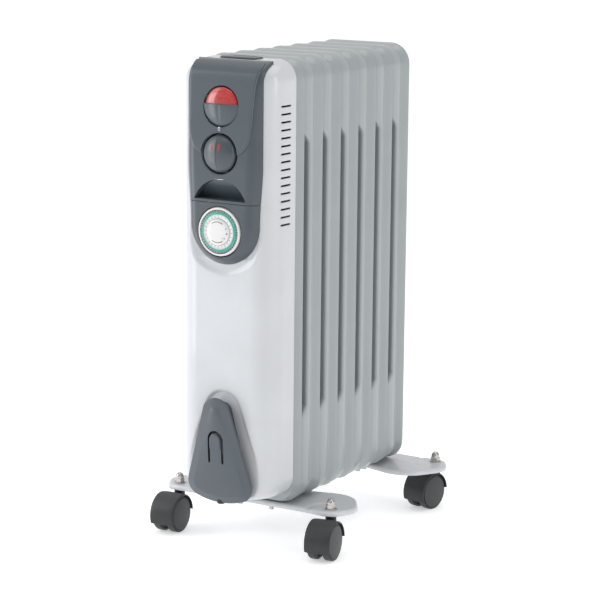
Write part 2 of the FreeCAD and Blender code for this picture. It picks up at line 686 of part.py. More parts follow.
# ------------------------------------------------------------ knob and timer
def make_knob():
    """Domed knob with a finger ridge and a blind socket at its back."""
    y = KNOB_BASE_Y
    base = rod_y(0, KNOB_Z, KNOB_R, y, y + 6.0)
    dome = dome_y(0, KNOB_Z, y, KNOB_R, KNOB_DEPTH)
    ridge = dome_y(0, KNOB_Z, y + 1.0, KNOB_R - 1.0, KNOB_DEPTH + 2.4)
    ridge = ridge.common(block(-1.4, 1.4, y - 20, y + 1, KNOB_Z - 30, KNOB_Z + 30))
    hollow = rod_y(0, KNOB_Z, KNOB_R - 2.5, y + 1.5, y + 8.0)
    boss = rod_y(0, KNOB_Z, 5.5, y + 0.5, y + 6.0)
    knob = fuse([fuse([base, dome, ridge]).cut(hollow), boss])
    return knob.cut(rod_y(0, KNOB_Z, SHAFT_R, y - 5.0, y + 10.0))


def make_knob_shaft():
    """Steel shaft from the thermostat into the knob."""
    return rod_y(0, KNOB_Z, SHAFT_R, KNOB_BASE_Y - 5.0, THERMOSTAT_FRONT_Y + 6.0)


def make_thermostat():
    """Switch and thermostat block behind the knob."""
    y0 = THERMOSTAT_FRONT_Y
    body = block(-20, 20, y0, y0 + 26.0, KNOB_Z - 17, KNOB_Z + 17)
    neck = rod_y(0, KNOB_Z, 6.0, y0 - 3.0, y0)
    plate = block(-30, 30, y0 - 1.2, y0, KNOB_Z - 13, KNOB_Z + 13)
    tabs = []
    for x in (-12, 0, 12):
        tabs.append(block(x - 3, x + 3, y0 + 26.0, y0 + 33.0, KNOB_Z + 7, KNOB_Z + 7.8))
        tabs.append(block(x - 3, x + 3, y0 + 26.0, y0 + 33.0, KNOB_Z - 7.8, KNOB_Z - 7))
    hole = rod_y(0, KNOB_Z, SHAFT_R + FIT, y0 - 5.0, y0 + 6.5)
    return fuse([body, neck, plate] + tabs).cut(hole)


def ring_y(z, outer, inner, y0, y1):
    """Flat ring along Y on the centre plane."""
    return rod_y(0, z, outer, y0, y1).cut(rod_y(0, z, inner, y0 - 1, y1 + 1))


def make_timer_bezel():
    """White rim round the timer, with a floor under the dial."""
    y = TIMER_FRONT_Y
    end = y + TIMER_DEPTH
    rim = ring_y(TIMER_Z, TIMER_R, DIAL_R + GAP, y, end)
    rim = rim.makeChamfer(1.2, [
        e for e in rim.Edges if e.BoundBox.YMax < y + 0.1 and e.BoundBox.XMax > TIMER_R - 0.5])
    floor = ring_y(TIMER_Z, DIAL_R + 1.0, TIMER_POST_R - 1.0 + GAP, end - 2.0, end)
    return fuse([rim, floor])


def make_timer_dial():
    """Rotating dial: low outer step for the tappets, raised number ring."""
    y = TIMER_FRONT_Y
    low = ring_y(TIMER_Z, DIAL_R - 0.3, TIMER_POST_R + FIT, y + 3.6, y + 9.5)
    high = ring_y(TIMER_Z, DIAL_RING_R, 15.6, y - 1.0, y + 4.0)
    hub = ring_y(TIMER_Z, 15.7, TIMER_POST_R + FIT, y + 2.4, y + 4.0)
    dial = fuse([low, high, hub])
    return dial.makeFillet(0.8, [
        e for e in dial.Edges if e.BoundBox.YMax < y - 0.9 and e.BoundBox.XMax > DIAL_RING_R - 0.2])


def make_tappets():
    """Ring of small switching tabs round the dial."""
    y = TIMER_FRONT_Y
    tabs = []
    base = block(-0.62, 0.62, y + 0.4, y + 3.6, DIAL_RING_R + 0.15, DIAL_R - 0.35)
    for k in range(TAPPET_COUNT):
        tab = base.copy()
        tab.rotate(V(0, 0, 0), V(0, 1, 0), 360.0 * k / TAPPET_COUNT)
        tab.translate(V(0, 0, TIMER_Z))
        tabs.append(tab)
    return tabs


def make_timer_centre():
    """Fixed centre disc on a post, with the time pointer notch."""
    y = TIMER_FRONT_Y
    disc = rod_y(0, TIMER_Z, 15.2, y - 3.0, y + 2.0)
    disc = disc.makeFillet(1.4, [e for e in disc.Edges if e.BoundBox.YMax < y - 2.9])
    post = rod_y(0, TIMER_Z, TIMER_POST_R, y + 2.0, y + 9.9)
    pin = rod_y(0, TIMER_Z, TIMER_POST_R - 1.0, y + 9.9, y + TIMER_DEPTH)
    notch = polygon_prism([
        V(14.0, y - 4.0, TIMER_Z),
        V(11.0, y - 4.0, TIMER_Z + 1.6),
        V(11.0, y - 4.0, TIMER_Z - 1.6)], V(0, 1.8, 0))
    return fuse([disc, post, pin]).cut(notch)


def make_timer_body():
    """Clockwork box behind the dial."""
    y = TIMER_FRONT_Y + TIMER_DEPTH
    body = block(-24, 24, y, y + 24.0, TIMER_Z - 24, TIMER_Z + 24)
    body = body.makeFillet(3.0, [e for e in body.Edges if abs(e.BoundBox.YLength - 24.0) < 0.1])
    tabs = [block(x - 3, x + 3, y + 24, y + 31, TIMER_Z - 16, TIMER_Z - 15.2) for x in (-15, -5, 5, 15)]
    return fuse([body] + tabs)


# ------------------------------------------------------------ cover and cord
def make_cable_cover():
    """Hollow cord hook with a clip tongue and an outlet in its lower edge."""
    outer = cover_solid(0.0, COVER_BASE_Y)
    inner = cover_solid(COVER_WALL, COVER_BASE_Y + 0.5)
    cover = outer.cut(inner)
    y0 = COVER_FRONT_Y - 9.0
    y1 = COVER_FRONT_Y + 4.5
    arch = slot_prism(10.4, 96.0, 154.0, y0, y1)
    arch = arch.cut(slot_prism(7.6, 90.0, 151.2, y0 - 1, y1 + 1))
    arch = arch.common(block(-12, 12, y0, y1, TONGUE_Z, 156.0))
    cover = cover.cut(arch)
    for x in (-7.4, 7.4):
        cover = cover.cut(rod_y(x, 131.0, 1.9, y0, y1))
    cover = cover.cut(rod_z(0, GLAND_Y, GLAND_COLLAR_R + FIT, 75.4, 84.0))
    return cover.cut(rod_z(0, GLAND_Y, GLAND_R + FIT, 60, 87))


def make_gland():
    """Cord bush in the outlet of the cable cover."""
    tube = rod_z(0, GLAND_Y, GLAND_R, 64.5, 86.5)
    collar = rod_z(0, GLAND_Y, GLAND_COLLAR_R, 75.5, 78.0)
    bush = fuse([tube, collar])
    for z in (79.5, 82.0, 84.5):
        groove = rod_z(0, GLAND_Y, 9.0, z, z + 1.0)
        bush = bush.cut(groove.cut(rod_z(0, GLAND_Y, GLAND_R - 0.7, z - 1, z + 2)))
    return bush.cut(rod_z(0, GLAND_Y, CORD_HOLE_R, 60, 90))


# ---------------------------------------------------------------- electrics
def make_element():
    """Hairpin heating element lying in the lower headers."""
    y_start = FLANGE_Y - 12.0
    y_end = FIN1_REAR_Y + 190.0
    sides = (-ELEMENT_X, ELEMENT_X)
    legs = [rod_y(x, HEADER_BOTTOM_Z, ELEMENT_R, y_start, y_end) for x in sides]
    bend = Part.makeTorus(ELEMENT_X, ELEMENT_R, V(0, y_end, HEADER_BOTTOM_Z), V(0, 0, 1))
    bend = bend.common(block(-20, 20, y_end, y_end + 20, 80, 140))
    pins = [rod_y(x, HEADER_BOTTOM_Z, 1.5, y_start - 8.0, y_start) for x in sides]
    return fuse(legs + [bend] + pins)


def make_element_flange():
    """Round plate that closes the lower header round the element legs."""
    plate = rod_y(0, HEADER_BOTTOM_Z, 23.0, FLANGE_Y - 5.0, FLANGE_Y)
    hexagon = rod_y(0, HEADER_BOTTOM_Z, 17.5, FLANGE_Y - 9.0, FLANGE_Y - 5.0)
    body = fuse([plate, hexagon])
    for x in (-ELEMENT_X, ELEMENT_X):
        body = body.cut(rod_y(x, HEADER_BOTTOM_Z, ELEMENT_R + FIT, FLANGE_Y - 15, FLANGE_Y + 1))
    return body


def make_cutout():
    """Thermal cut-out seated on the first fin."""
    y1 = FIN1_REAR_Y - CORE_BACK - CHAMBER_HALF_T
    z = CUTOUT_Z
    body = rod_y(0, z, 8.0, y1 - 9.0, y1)
    tabs = [block(x - 3, x + 3, y1 - 16.0, y1 - 9.0, z - 0.4, z + 0.4) for x in (-4.5, 4.5)]
    return fuse([body] + tabs)


def make_terminal_block():
    """Three way terminal block on the front of the first fin."""
    y1 = FIN1_REAR_Y - CORE_BACK - CHAMBER_HALF_T
    body = block(-26, 26, y1 - 16.0, y1, TERMINAL_Z - 9, TERMINAL_Z + 9)
    for x in (-16, 0, 16):
        body = body.cut(rod_y(x, TERMINAL_Z, 3.0, y1 - 18.0, y1 - 8.0))
        body = body.cut(block(x - 5, x + 5, y1 - 13.0, y1 - 7.0, TERMINAL_Z + 6, TERMINAL_Z + 12))
    return body


def make_wiring():
    """Insulated leads between terminal block, timer, switch and element."""
    y = FIN1_REAR_Y
    wires = []
    wires.append(tube_along([
        V(-16, y - 28.0, 215.5), V(-24, y - 32.0, 260), V(-30, y - 36.0, 330),
        V(-20, y - 34.0, 372), V(-15, y - 34.0, 375.0)], WIRE_R))
    wires.append(tube_along([
        V(16, y - 28.0, 215.5), V(34, y - 32.0, 270), V(36, y - 34.0, 400),
        V(28, y - 30.0, 455), V(12, y - 27.5, 471.0)], WIRE_R))
    wires.append(tube_along([
        V(0, y - 28.0, 215.5), V(3, y - 36.0, 240), V(6, y - 44.0, 270), V(5, y - 38.0, 288.0)], WIRE_R))
    wires.append(tube_along([
        V(-9, y - 44.5, 110.0), V(-16, y - 46.0, 140),
        V(-22, y - 44.0, 175), V(-18, y - 38.5, 199.0)], WIRE_R))
    wires.append(tube_along([
        V(9, y - 44.5, 110.0), V(16, y - 46.0, 140),
        V(22, y - 44.0, 175), V(18, y - 38.5, 199.0)], WIRE_R))
    return wires


def make_lamp():
    """Neon lamp in a holder behind the lens."""
    holder = rod_y(0, LENS_Z, 7.0, LENS_BASE_Y + 9.0, LENS_BASE_Y + 21.0)
    bulb = rod_y(0, LENS_Z, 4.0, LENS_BASE_Y + 2.5, LENS_BASE_Y + 9.0)
    tip = Part.makeSphere(4.0, V(0, LENS_BASE_Y + 2.5, LENS_Z))
    return fuse([holder, bulb, tip])


# -------------------------------------------------------------- feet
def foot_outline(grow):
    """Plan of the right half of a foot: (x, y from the stem) corner points."""
    g = grow
    return [
        (0.0, -12.0 - g),
        (76.0, -12.0 - g),
        (88.0, -16.0 - g),
        (98.0, -25.0 - g * 0.8),
        (107.0, -31.5 - g),
        (119.0, -32.0 - g),
        (128.0, -27.0 - g * 0.7),
        (131.3 + g, -18.0 - g * 0.3),
        (131.0 + g, 4.0),
        (128.0 + g, 24.0),
        (121.0 + g * 0.9, 42.0 + g * 0.4),
        (110.0 + g * 0.6, 57.0 + g * 0.8),
        (96.0 + g * 0.3, 65.0 + g),
        (78.0, 67.0 + g),
        (58.0, 62.0 + g),
        (40.0, 57.0 + g),
        (0.0, 55.0 + g),
    ]


def foot_face(stem_y, side, grow, z):
    """Closed smooth plan face of a foot, mirrored to both ends."""
    right = [V(x, stem_y + side * dy, z) for x, dy in foot_outline(grow)]
    left = [V(-p.x, p.y, z) for p in reversed(right)]
    edges = []
    for half in (right, left):
        body = half[1:-1]
        curve = Part.BSplineCurve()
        curve.interpolate(body)
        edges.append(line(half[0], half[1]))
        edges.append(curve.toShape())
        edges.append(line(half[-2], half[-1]))
    return Part.Face(Part.Wire(edges))


def make_foot(stem_y, side, clamp_y):
    """Pressed foot: top sheet with a down turned skirt all round."""
    z1 = FOOT_TOP_Z
    z0 = z1 - FOOT_SKIRT
    outer = foot_face(stem_y, side, 0.0, z0).extrude(V(0, 0, z1 - z0))
    inner = foot_face(stem_y, side, -FOOT_SHEET, z0 - 1).extrude(V(0, 0, z1 - z0 + 1 - FOOT_SHEET))
    foot = outer.cut(inner)
    for x in (-STEM_X, STEM_X):
        foot = foot.cut(rod_z(x, stem_y, STEM_R + FIT, z0 - 5, z1 + 5))
    for x in (-UBOLT_X, UBOLT_X):
        foot = foot.cut(rod_z(x, clamp_y, UBOLT_R + 0.3, z0 - 5, z1 + 5))
    return foot


# ------------------------------------------------------------------- casters
def turned(shape, key):
    """Put a caster piece built at the origin under its stem at its rest yaw."""
    x, y, yaw = CASTERS[key]
    copy = shape.copy()
    copy.rotate(V(0, 0, 0), V(0, 0, 1), yaw)
    copy.translate(V(x, y, 0))
    return copy


def sector(radius, half_w, start, stop):
    """Pie sector about the axle, angles from the horizontal away from the stem."""
    steps = 18
    points = [V(-half_w, -AXLE_OFFSET, WHEEL_R)]
    for k in range(steps + 1):
        a = math.radians(start + (stop - start) * k / steps)
        points.append(V(-half_w, -AXLE_OFFSET - radius * math.cos(a), WHEEL_R + radius * math.sin(a)))
    return polygon_prism(points, V(2.0 * half_w, 0, 0))


def caster_body():
    """Hood over the wheels, web between them and the socket for the stem."""
    wide = WHEEL_TREAD + 1.8
    web_half = WHEEL_INNER - 0.7
    hood = rod_x(-AXLE_OFFSET, WHEEL_R, HOOD_OUTER_R, -wide, wide)
    hood = hood.cut(rod_x(-AXLE_OFFSET, WHEEL_R, HOOD_INNER_R, -wide - 1, wide + 1))
    hood = hood.common(sector(60.0, wide + 1, HOOD_START_DEG, HOOD_STOP_DEG))
    web = rod_x(-AXLE_OFFSET, WHEEL_R, HOOD_OUTER_R - 0.5, -web_half, web_half)
    web = web.common(sector(60.0, web_half + 1, HOOD_START_DEG + 4.0, HOOD_STOP_DEG - 4.0))
    hub = rod_x(-AXLE_OFFSET, WHEEL_R, 7.0, -web_half, web_half)
    clear = rod_x(-AXLE_OFFSET, WHEEL_R, HOOD_INNER_R, -30, 30)
    socket = rod_z(0, 0, SOCKET_R, STEM_BOTTOM_Z, SOCKET_TOP_Z).cut(clear)
    tower = block(-web_half, web_half, -8.0, 7.0, 22.0, 40.0)
    body = fuse([hood, web, hub, socket, tower])
    body = body.cut(rod_z(0, 0, STEM_R + FIT, STEM_BOTTOM_Z - 0.6, 70.0))
    body = body.cut(rod_z(0, 0, STEM_R + 0.9, STEM_BOTTOM_Z + 5.0, STEM_BOTTOM_Z + 8.0))
    return body.cut(rod_x(-AXLE_OFFSET, WHEEL_R, AXLE_R, -40, 40))


def caster_axle():
    """Steel pin through the web; the wheels turn on its ends."""
    return rod_x(-AXLE_OFFSET, WHEEL_R, AXLE_R, -AXLE_HALF, AXLE_HALF)


def caster_wheel(side):
    """Wheel with a rounded tread and a domed outer face, on one side."""
    pts = [
        V(WHEEL_INNER, 0, AXLE_R + FIT),
        V(WHEEL_INNER, 0, 6.5),
        V(WHEEL_INNER + 2.0, 0, 8.0),
        V(WHEEL_INNER + 2.0, 0, 18.5),
        V(WHEEL_INNER, 0, 19.5),
        V(WHEEL_INNER, 0, 21.3),
        V(WHEEL_INNER + 1.2, 0, WHEEL_R),
        V(WHEEL_TREAD - 1.2, 0, WHEEL_R),
        V(WHEEL_TREAD, 0, 21.3),
        V(WHEEL_FACE - 0.6, 0, 14.0),
        V(WHEEL_FACE, 0, 6.0),
        V(WHEEL_FACE, 0, 0),
        V(AXLE_HALF + 0.4, 0, 0),
        V(AXLE_HALF + 0.4, 0, AXLE_R + FIT),
    ]
    face = Part.Face(Part.makePolygon(pts + [pts[0]]))
    wheel = face.revolve(V(0, 0, 0), V(1, 0, 0), 360)
    if side < 0:
        wheel = mirror_x(wheel)
    wheel.translate(V(0, -AXLE_OFFSET, WHEEL_R))
    return wheel


def make_stems():
    """Fixed stems: collar under the foot, bead in the caster, thread on top."""
    stems = []
    under = FOOT_TOP_Z - FOOT_SHEET
    for x, y, yaw in CASTERS.values():
        shaft = rod_z(x, y, STEM_R, STEM_BOTTOM_Z, NUT_TOP_Z - 4.0)
        collar = rod_z(x, y, COLLAR_R, SOCKET_TOP_Z + GAP, under)
        bead = rod_z(x, y, STEM_R + 0.6, STEM_BOTTOM_Z + 5.6, STEM_BOTTOM_Z + 7.4)
        stems.append(fuse([shaft, collar, bead]))
    return stems


def make_washers():
    """Flat washers on the paddles."""
    items = []
    for x, y, yaw in CASTERS.values():
        disc = rod_z(x, y, WASHER_R, FOOT_TOP_Z, FOOT_TOP_Z + WASHER_T)
        items.append(disc.cut(rod_z(x, y, STEM_R + FIT, 50, 60)))
    return items


def make_cap_nuts():
    """Acorn nuts: hexagon below, dome above."""
    items = []
    z0 = FOOT_TOP_Z + WASHER_T
    r = NUT_DOME_R
    for x, y, yaw in CASTERS.values():
        corners = []
        for k in range(6):
            a = math.radians(60 * k + 15)
            corners.append(V(x + NUT_CORNER_R * math.cos(a), y + NUT_CORNER_R * math.sin(a), z0))
        prism = polygon_prism(corners, V(0, 0, NUT_HEX_H))
        neck = rod_z(x, y, r, z0 + NUT_HEX_H, NUT_TOP_Z - r + 0.1)
        dome = Part.makeSphere(r, V(x, y, NUT_TOP_Z - r))
        nut = fuse([prism, neck, dome])
        bore = rod_z(x, y, STEM_R, 50, NUT_TOP_Z - 4.0)
        items.append(nut.cut(bore).common(rod_z(x, y, 9, z0, 80)))
    return items


# --------------------------------------------------------------------- build
for number in range(FIN_COUNT):
    save("fin_%d" % (number + 1), make_fin(number))

panel_grown = panel_solid(-GAP, PANEL_BASE_Y + 0.5)
save("control_housing", make_housing(panel_grown))
save("housing_back_plate", make_back_plate())
save("back_plate_screws", make_screws())
save("top_grip", make_top_grip())

save("panel_upper", make_panel_upper())
save("panel_shield", make_shield())
save("indicator_lens", make_lens())
save("indicator_lamp", make_lamp())
hole = rod_y(0, TIMER_Z, TIMER_R + GAP, PANEL_FRONT_Y - 5, PANEL_BASE_Y + 5)
save("panel_lower", make_panel_lower(hole))

save("thermostat_knob", make_knob())
save("knob_shaft", make_knob_shaft())
save("thermostat_switch", make_thermostat())
save("timer_body", make_timer_body())
save("timer_bezel", make_timer_bezel())
save("timer_dial", make_timer_dial())
save("timer_tappets", make_tappets())
save("timer_centre", make_timer_centre())

save("cable_cover", make_cable_cover())
save("cord_gland", make_gland())
save("heating_element", make_element())
save("element_flange", make_element_flange())
save("thermal_cutout", make_cutout())
save("terminal_block", make_terminal_block())
save("wiring", make_wiring())

save("foot_front", make_foot(FRONT_STEM_Y, 1.0, ubolt_y(UBOLT_FINS[0])))
save("foot_rear", make_foot(REAR_STEM_Y, -1.0, ubolt_y(UBOLT_FINS[1])))
save("foot_clamps", [make_ubolt(ubolt_y(k)) for k in UBOLT_FINS])
nuts = []
for k in UBOLT_FINS:
    for x in (-UBOLT_X, UBOLT_X):
        nuts.append(make_wing_nut(x, ubolt_y(k)))
save("wing_nuts", nuts)
save("caster_stems", make_stems())
save("cap_washers", make_washers())
save("cap_nuts", make_cap_nuts())

for key in CASTERS:
    save("caster_%s_body" % key, turned(caster_body(), key))
    save("caster_%s_axle" % key, turned(caster_axle(), key))
    save("caster_%s_wheel_a" % key, turned(caster_wheel(-1), key))
    save("caster_%s_wheel_b" % key, turned(caster_wheel(1), key))
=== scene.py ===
# %% [markdown]
# # An oil filled radiator heater
# The measured model comes first. It fixes every size and every moving part, and
# this script only dresses it. Blender works in metres here, so a length in
# millimetres is multiplied by MM.

# %% Load the frame
import math
import bpy
import bmesh
import mathutils
import numpy as np
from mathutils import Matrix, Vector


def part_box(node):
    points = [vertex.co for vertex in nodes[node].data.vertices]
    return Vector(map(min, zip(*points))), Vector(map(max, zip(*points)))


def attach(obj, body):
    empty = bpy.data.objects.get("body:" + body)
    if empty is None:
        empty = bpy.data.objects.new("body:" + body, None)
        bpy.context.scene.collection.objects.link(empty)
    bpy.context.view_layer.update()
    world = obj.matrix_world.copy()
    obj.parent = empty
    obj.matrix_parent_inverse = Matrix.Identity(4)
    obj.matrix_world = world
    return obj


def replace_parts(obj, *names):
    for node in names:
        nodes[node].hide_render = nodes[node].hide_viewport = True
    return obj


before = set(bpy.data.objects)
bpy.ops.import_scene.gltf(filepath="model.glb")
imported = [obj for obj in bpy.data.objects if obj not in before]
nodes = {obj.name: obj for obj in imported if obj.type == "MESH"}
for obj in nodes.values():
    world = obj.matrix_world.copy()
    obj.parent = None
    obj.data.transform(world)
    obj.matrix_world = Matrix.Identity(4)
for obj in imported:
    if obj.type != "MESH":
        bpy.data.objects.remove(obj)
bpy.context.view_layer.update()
MM = 0.001

# %% [markdown]
# ## Numbers that several pieces share
# They are read from the boxes of the measured nodes, so a change of the design
# moves the dressed pieces with it. Lengths below are in millimetres.


# %% Shared numbers
def box_mm(node):
    """Lowest and highest corner of a node in millimetres, as two arrays."""
    low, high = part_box(node)
    return np.array(low) / MM, np.array(high) / MM


FIN_COUNT = 7
fin_low, fin_high = box_mm("fin_7")
PITCH = box_mm("fin_3")[1][1] - box_mm("fin_2")[1][1]
FIN1_REAR = fin_high[1] - PITCH * (FIN_COUNT - 1)
FIN_HALF, FIN_BOTTOM, FIN_TOP = fin_high[0], fin_low[2], fin_high[2]
house_low, house_high = box_mm("control_housing")
HOUSE_HALF, HOUSE_BOTTOM, HOUSE_TOP = house_high[0], house_low[2], house_high[2]
HOUSE_FRONT, HOUSE_REAR = house_low[1], house_high[1]
PANEL_FRONT = box_mm("panel_upper")[0][1]
MOAT_FLOOR = FIN1_REAR - 64.8
print("pitch %.1f mm, first fin ends at y %.1f, panel face at y %.1f"
      % (PITCH, FIN1_REAR, PANEL_FRONT))

# %% [markdown]
# ## A small workshop for surfaces
# Every new piece is one or more grids of points. A grid is worked out as whole
# arrays, and its rows and columns become the faces. A turned piece is a profile
# carried round an axis, and a moulded edge is a profile carried round an outline.


# %% Grids to meshes
def grid_faces(rows, cols, wrap, start):
    """Quads of a grid: corner k is row r, column c at start + r * cols + c.
    With wrap, the last column joins the first."""
    across = cols if wrap else cols - 1
    r, c = np.meshgrid(np.arange(rows - 1), np.arange(across), indexing="ij")
    d = (c + 1) % cols
    quads = np.stack([r * cols + c, r * cols + d, (r + 1) * cols + d, (r + 1) * cols + c], -1)
    return quads.reshape(-1, 4) + start


def mesh_piece(name, grids, drop=None):
    """A mesh object from grids, each (points, wrap, flip). Points are rows x
    columns x 3 in millimetres. drop(centres) marks faces to leave out."""
    points, faces, start = [], [], 0
    for grid, wrap, flip in grids:
        rows, cols = grid.shape[:2]
        quads = grid_faces(rows, cols, wrap, start)
        faces.append(quads[:, ::-1] if flip else quads)
        points.append(grid.reshape(-1, 3))
        start += rows * cols
    points, faces = np.concatenate(points), np.concatenate(faces)
    if drop is not None:
        faces = faces[~drop(points[faces].mean(axis=1))]
    mesh = bpy.data.meshes.new(name)
    mesh.from_pydata((points * MM).tolist(), [], faces.tolist())
    piece = bpy.data.objects.new(name, mesh)
    bpy.context.scene.collection.objects.link(piece)
    return piece


def tidy(piece, outward=True, smooth=35.0):
    """Merge doubled points, drop slivers, turn faces outward, smooth up to an angle."""
    shape = bmesh.new()
    shape.from_mesh(piece.data)
    bmesh.ops.remove_doubles(shape, verts=shape.verts, dist=2e-6)
    bmesh.ops.dissolve_degenerate(shape, edges=shape.edges, dist=1e-6)
    loose = [v for v in shape.verts if not v.link_faces]
    bmesh.ops.delete(shape, geom=loose, context="VERTS")
    if outward:
        bmesh.ops.recalc_face_normals(shape, faces=shape.faces)
    shape.to_mesh(piece.data)
    shape.free()
    piece.data.shade_smooth()
    piece.data.set_sharp_from_angle(angle=math.radians(smooth))
    return piece


def face_out(piece, direction):
    """Turn an open sheet so that most of its area looks along direction."""
    areas = np.array([f.area for f in piece.data.polygons])
    normals = np.array([f.normal[:] for f in piece.data.polygons])
    if (areas * (normals @ np.array(direction, float))).sum() < 0:
        piece.data.flip_normals()
    return piece


def settle(piece, body, slot, material, *stands_for):
    """Give a finished piece its finish, its body and the nodes that it stands for."""
    piece.data.materials.clear()
    piece.data.materials.append(material)
    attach(piece, body)
    if stands_for:
        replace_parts(piece, *stands_for)
    print("%-26s %6d faces on %s" % (piece.name, len(piece.data.polygons), body))
    return piece


def baked(piece):
    """The piece with its modifiers worked into its mesh."""
    depsgraph = bpy.context.evaluated_depsgraph_get()
    mesh = bpy.data.meshes.new_from_object(piece.evaluated_get(depsgraph))
    piece.modifiers.clear()
    piece.data = mesh
    return piece


def cut_away(piece, *tools):
    """Exact difference of the piece and each tool; the tools are then removed."""
    for tool in tools:
        step = piece.modifiers.new("cut", "BOOLEAN")
        step.operation, step.solver, step.object = "DIFFERENCE", "EXACT", tool
    baked(piece)
    for tool in tools:
        bpy.data.objects.remove(tool)
    return piece


# %% Profiles
def rounded_path(corners, radii, steps=5, closed=False):
    """A polyline with its corners replaced by arcs. At a corner with turning
    angle a, the arc of radius r starts r * tan(a / 2) before the corner."""
    corners = np.asarray(corners, float)
    count, out = len(corners), []
    for k in range(count):
        here, r = corners[k], radii[k]
        if r <= 0 or (not closed and k in (0, count - 1)):
            out.append(here[None])
            continue
        before = corners[k - 1] - here
        after = corners[(k + 1) % count] - here
        la, lb = np.linalg.norm(before), np.linalg.norm(after)
        before, after = before / la, after / lb
        half = math.acos(np.clip(before @ after, -1, 1)) / 2
        reach = min(r / math.tan(half), 0.49 * la, 0.49 * lb)
        r = reach * math.tan(half)
        centre = here + (before + after) / np.linalg.norm(before + after) * r / math.sin(half)
        a, b = here + before * reach - centre, here + after * reach - centre
        sweep = math.pi - 2 * half
        t = np.linspace(0, 1, steps + 1)[:, None]
        out.append(centre + (np.sin((1 - t) * sweep) * a + np.sin(t * sweep) * b) / math.sin(sweep))
    return np.concatenate(out)


def turned(profile, axis, centre, segments=96):
    """Surface of revolution. profile rows are (radius, along); a point at angle
    t is centre + along * axis + radius * (cos t * first + sin t * second)."""
    axis = np.array(axis, float)
    first = np.array([0.0, 0.0, 1.0]) if abs(axis[2]) < 0.9 else np.array([1.0, 0.0, 0.0])
    second = np.cross(axis, first)
    t = np.linspace(0, 2 * math.pi, segments, endpoint=False)
    ring = np.cos(t)[:, None] * first + np.sin(t)[:, None] * second
    profile = np.asarray(profile, float)
    return (np.array(centre, float) + profile[:, None, 1:2] * axis
            + profile[:, None, 0:1] * ring[None])


def turned_piece(name, profile, axis, centre, segments=96):
    """A turned piece, closed where its profile meets the axis."""
    piece = mesh_piece(name, [(turned(profile, axis, centre, segments), True, False)])
    return tidy(piece)


def smoothstep(low, high, value):
    """0 below low, 1 above high, and 3t^2 - 2t^3 between."""
    t = np.clip((value - low) / (high - low), 0, 1)
    return t * t * (3 - 2 * t)


def smooth_curve(knots, where):
    """Values of a smooth curve through (x, y) knots: cubic pieces whose slope at
    a knot is the mean slope of its two neighbours."""
    x, y = np.array(knots, float).T
    slope = np.gradient(y, x)
    k = np.clip(np.searchsorted(x, where) - 1, 0, len(x) - 2)
    h = x[k + 1] - x[k]
    t = np.clip((where - x[k]) / h, 0, 1)
    return ((1 + 2 * t) * (1 - t) ** 2 * y[k] + t * (1 - t) ** 2 * h * slope[k]
            + t * t * (3 - 2 * t) * y[k + 1] + t * t * (t - 1) * h * slope[k + 1])


print("helpers ready")

# %% [markdown]
# ## Camera, light and floor
# A long lens at a little above half height keeps the upright edges nearly
# parallel. The light is a bright room with one large soft source at the left:
# the enamel and the dark plastic both show it as a broad sheen.

# %% Camera
camera_data = bpy.data.cameras.new("camera")
camera = bpy.data.objects.new("camera", camera_data)
bpy.context.scene.collection.objects.link(camera)
AZIMUTH, ELEVATION, ROLL = (math.radians(a) for a in (31.184, 10.93, 0.555))
camera_data.sensor_width = 36.0
camera_data.lens = 36.0 * 2314.15 / 600.0
back = np.array([math.sin(AZIMUTH) * math.cos(ELEVATION),
                 -math.cos(AZIMUTH) * math.cos(ELEVATION), math.sin(ELEVATION)])
right = np.array([math.cos(AZIMUTH), math.sin(AZIMUTH), 0.0])
upward = np.cross(back, right)
turned_right = right * math.cos(ROLL) + upward * math.sin(ROLL)
turned_up = upward * math.cos(ROLL) - right * math.sin(ROLL)
place = np.eye(4)
place[:3, 0], place[:3, 1], place[:3, 2] = turned_right, turned_up, back
place[:3, 3] = np.array([1452.4, -2293.9 + FIN1_REAR, 823.5]) * MM
camera.matrix_world = mathutils.Matrix(place.tolist())
camera_data.clip_start, camera_data.clip_end = 0.05, 200.0
bpy.context.scene.camera = camera
print("camera at", np.round(place[:3, 3], 3).tolist(), "lens %.1f mm" % camera_data.lens)


# %% Lights
def soft_box(name, location, aim, width, height, power, tint=(1.0, 1.0, 1.0)):
    """A rectangular area light at location that faces aim."""
    data = bpy.data.lights.new(name, "AREA")
    data.shape, data.size, data.size_y = "RECTANGLE", width, height
    data.energy, data.color = power, tint
    lamp = bpy.data.objects.new(name, data)
    bpy.context.scene.collection.objects.link(lamp)
    lamp.location = location
    way = mathutils.Vector(aim) - mathutils.Vector(location)
    lamp.rotation_mode = "QUATERNION"
    lamp.rotation_quaternion = way.to_track_quat("-Z", "Y")
    return lamp


soft_box("left_window", (-2.3, -1.5, 1.5), (0, -0.1, 0.35), 1.6, 2.2, 19.0, (0.96, 0.98, 1.0))
soft_box("near_panel", (-0.62, -0.62, 0.42), (-0.03, -0.17, 0.34), 0.3, 0.7, 1.5, (0.96, 0.98, 1.0))
soft_box("right_window", (2.6, -0.35, 1.2), (0, -0.1, 0.3), 0.5, 2.0, 13.0)
soft_box("top_light", (0.2, 0.2, 2.6), (0, 0, 0.3), 2.0, 2.0, 16.0)

